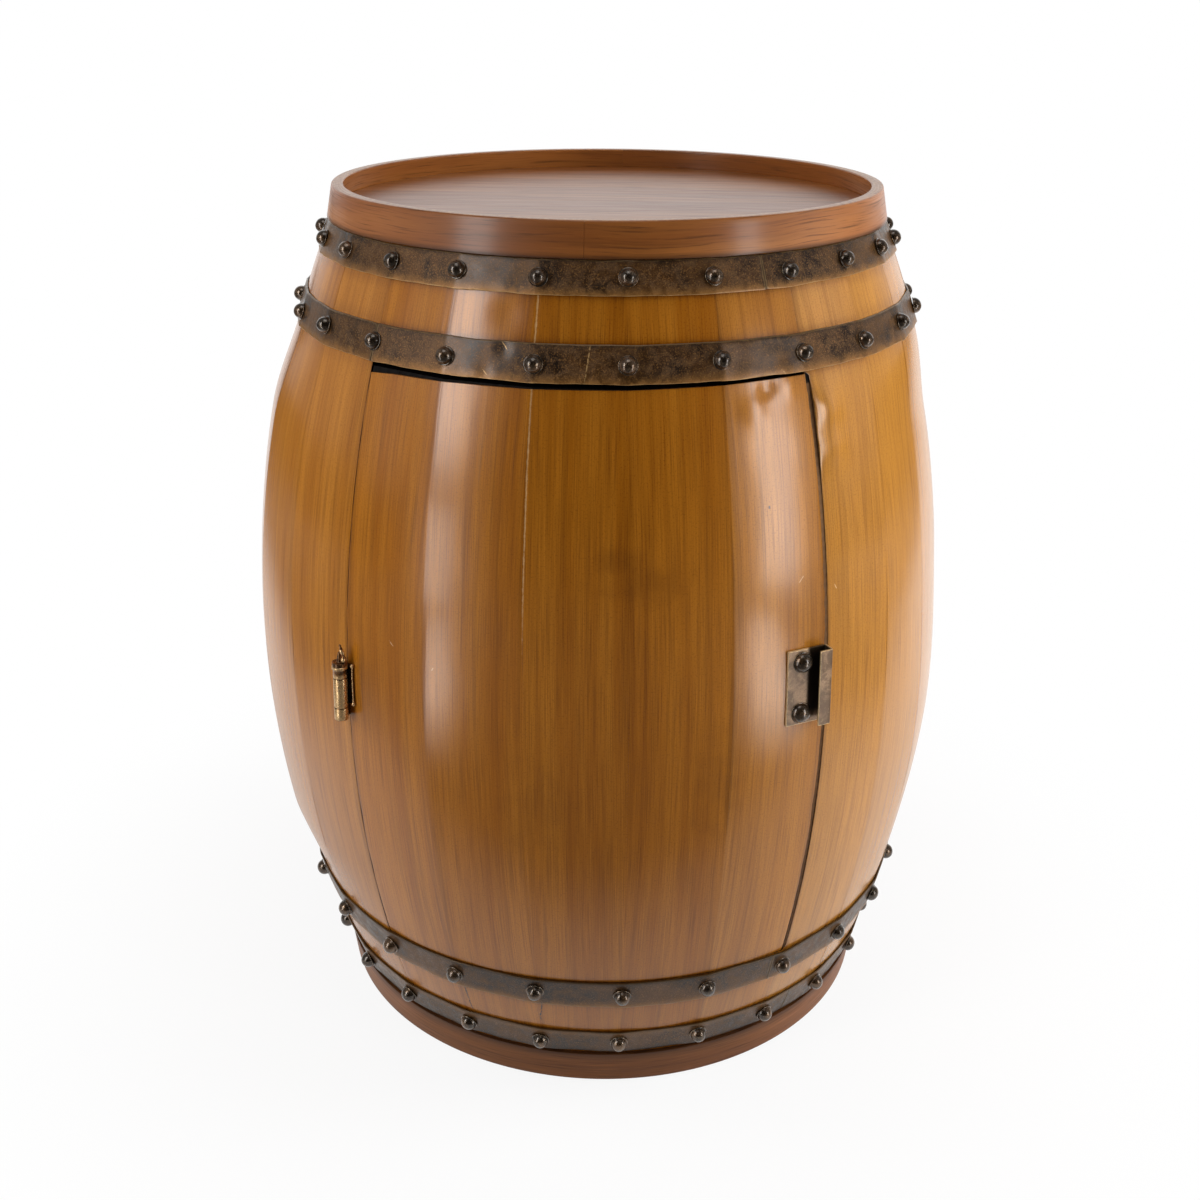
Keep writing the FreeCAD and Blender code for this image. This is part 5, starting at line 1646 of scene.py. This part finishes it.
def world():
    # white behind the table, also in reflections, dim beside it and nearly dark in front
    look = stageLook
    studio = bpy.data.worlds.new("studio")
    studio.use_nodes = True
    bpy.context.scene.world = studio
    tree = studio.node_tree
    tree.nodes.clear()
    heading = axes(tree, coordinates(tree, "Generated"))
    ray = addNode(tree, "ShaderNodeLightPath").outputs
    front = spread(tree, heading[1], *look["worldFrontReach"], look["worldFront"], look["worldSide"])
    level = spread(tree, heading[1], *look["worldBackReach"], front, look["worldBack"])
    strength = sums(tree, "MAXIMUM", ray["Is Camera Ray"], level)
    light = addNode(tree, "ShaderNodeBackground", {"Color": (1, 1, 1, 1), "Strength": strength}).outputs[0]
    addNode(tree, "ShaderNodeOutputWorld", {"Surface": light})


def lamp(name, look, target):
    # a lit rectangle at an azimuth and distance, which faces the target, or up if it is flat
    data = bpy.data.lights.new(name, "AREA")
    data.shape = "RECTANGLE"
    data.size, data.size_y = look["size"]
    data.energy = look["power"]
    angle = math.radians(look["azimuth"])
    piece = bpy.data.objects.new(name, data)
    bpy.context.scene.collection.objects.link(piece)
    spot = turnRound(angle, look["distance"], 0.0, look["height"])
    piece.location = spot
    back = Vector(spot - np.array(target))
    piece.rotation_euler = back.to_track_quat("Z", "Y").to_euler()
    if look.get("flat"):
        piece.rotation_euler = (math.pi, 0, angle)
    piece.visible_camera = False
    piece.visible_glossy = look.get("gloss", True)
    if look.get("fade"):
        # brightest in its middle: over this share of its width and height it fades to its edges
        data.use_nodes = True
        tree = data.node_tree
        place = axes(tree, addNode(tree, "ShaderNodeNewGeometry").outputs["Parametric"])
        strength = 1.0
        for axis in (0, 1):
            fromMiddle = sums(tree, "ABSOLUTE", sums(tree, "SUBTRACT", place[axis], 0.5))
            inside = sums(tree, "SUBTRACT", 0.5, fromMiddle)
            strength = times(tree, strength, spread(tree, inside, 0.0, look["fade"][axis]))
        link(tree, strength, tree.nodes["Emission"].inputs["Strength"])


floor()
world()
tableMiddle = (0, 0, (cadBox[0][2] + cadBox[1][2]) / 2)
for lampName, lampLook in stageLook["lamps"].items():
    lamp(lampName, lampLook, tableMiddle)

# The camera stands 4 degrees to the latch side, looks down on the table, and its frame is shifted
cameraLook = {
    "azimuth": 4.2,
    "distance": 1.1308,
    "height": 0.7561,
    "side": -0.0046,
    "pitch": 13.453,
    "roll": 0.332,
    "frame": 1200,
    "focal": 1534.8,
    "centreRow": 342.0,
    "sensor": 36.0,
}


def camera():
    look = cameraLook
    data = bpy.data.cameras.new("camera")
    data.sensor_width = look["sensor"]
    data.lens = look["focal"] / look["frame"] * look["sensor"]
    data.shift_y = -(look["frame"] / 2 - look["centreRow"]) / look["frame"]
    piece = bpy.data.objects.new("camera", data)
    bpy.context.scene.collection.objects.link(piece)
    angle = math.radians(look["azimuth"])
    piece.location = turnRound(angle, look["distance"], look["side"], look["height"])
    pitch = math.radians(look["pitch"])
    roll = math.radians(look["roll"])
    turned = Matrix.Rotation(angle, 4, "Z") @ Matrix.Rotation(math.pi / 2 - pitch, 4, "X")
    piece.rotation_euler = (turned @ Matrix.Rotation(roll, 4, "Z")).to_euler()
    bpy.context.scene.camera = piece


camera()
bpy.context.scene.view_settings.view_transform = "Standard"
print("stage set")
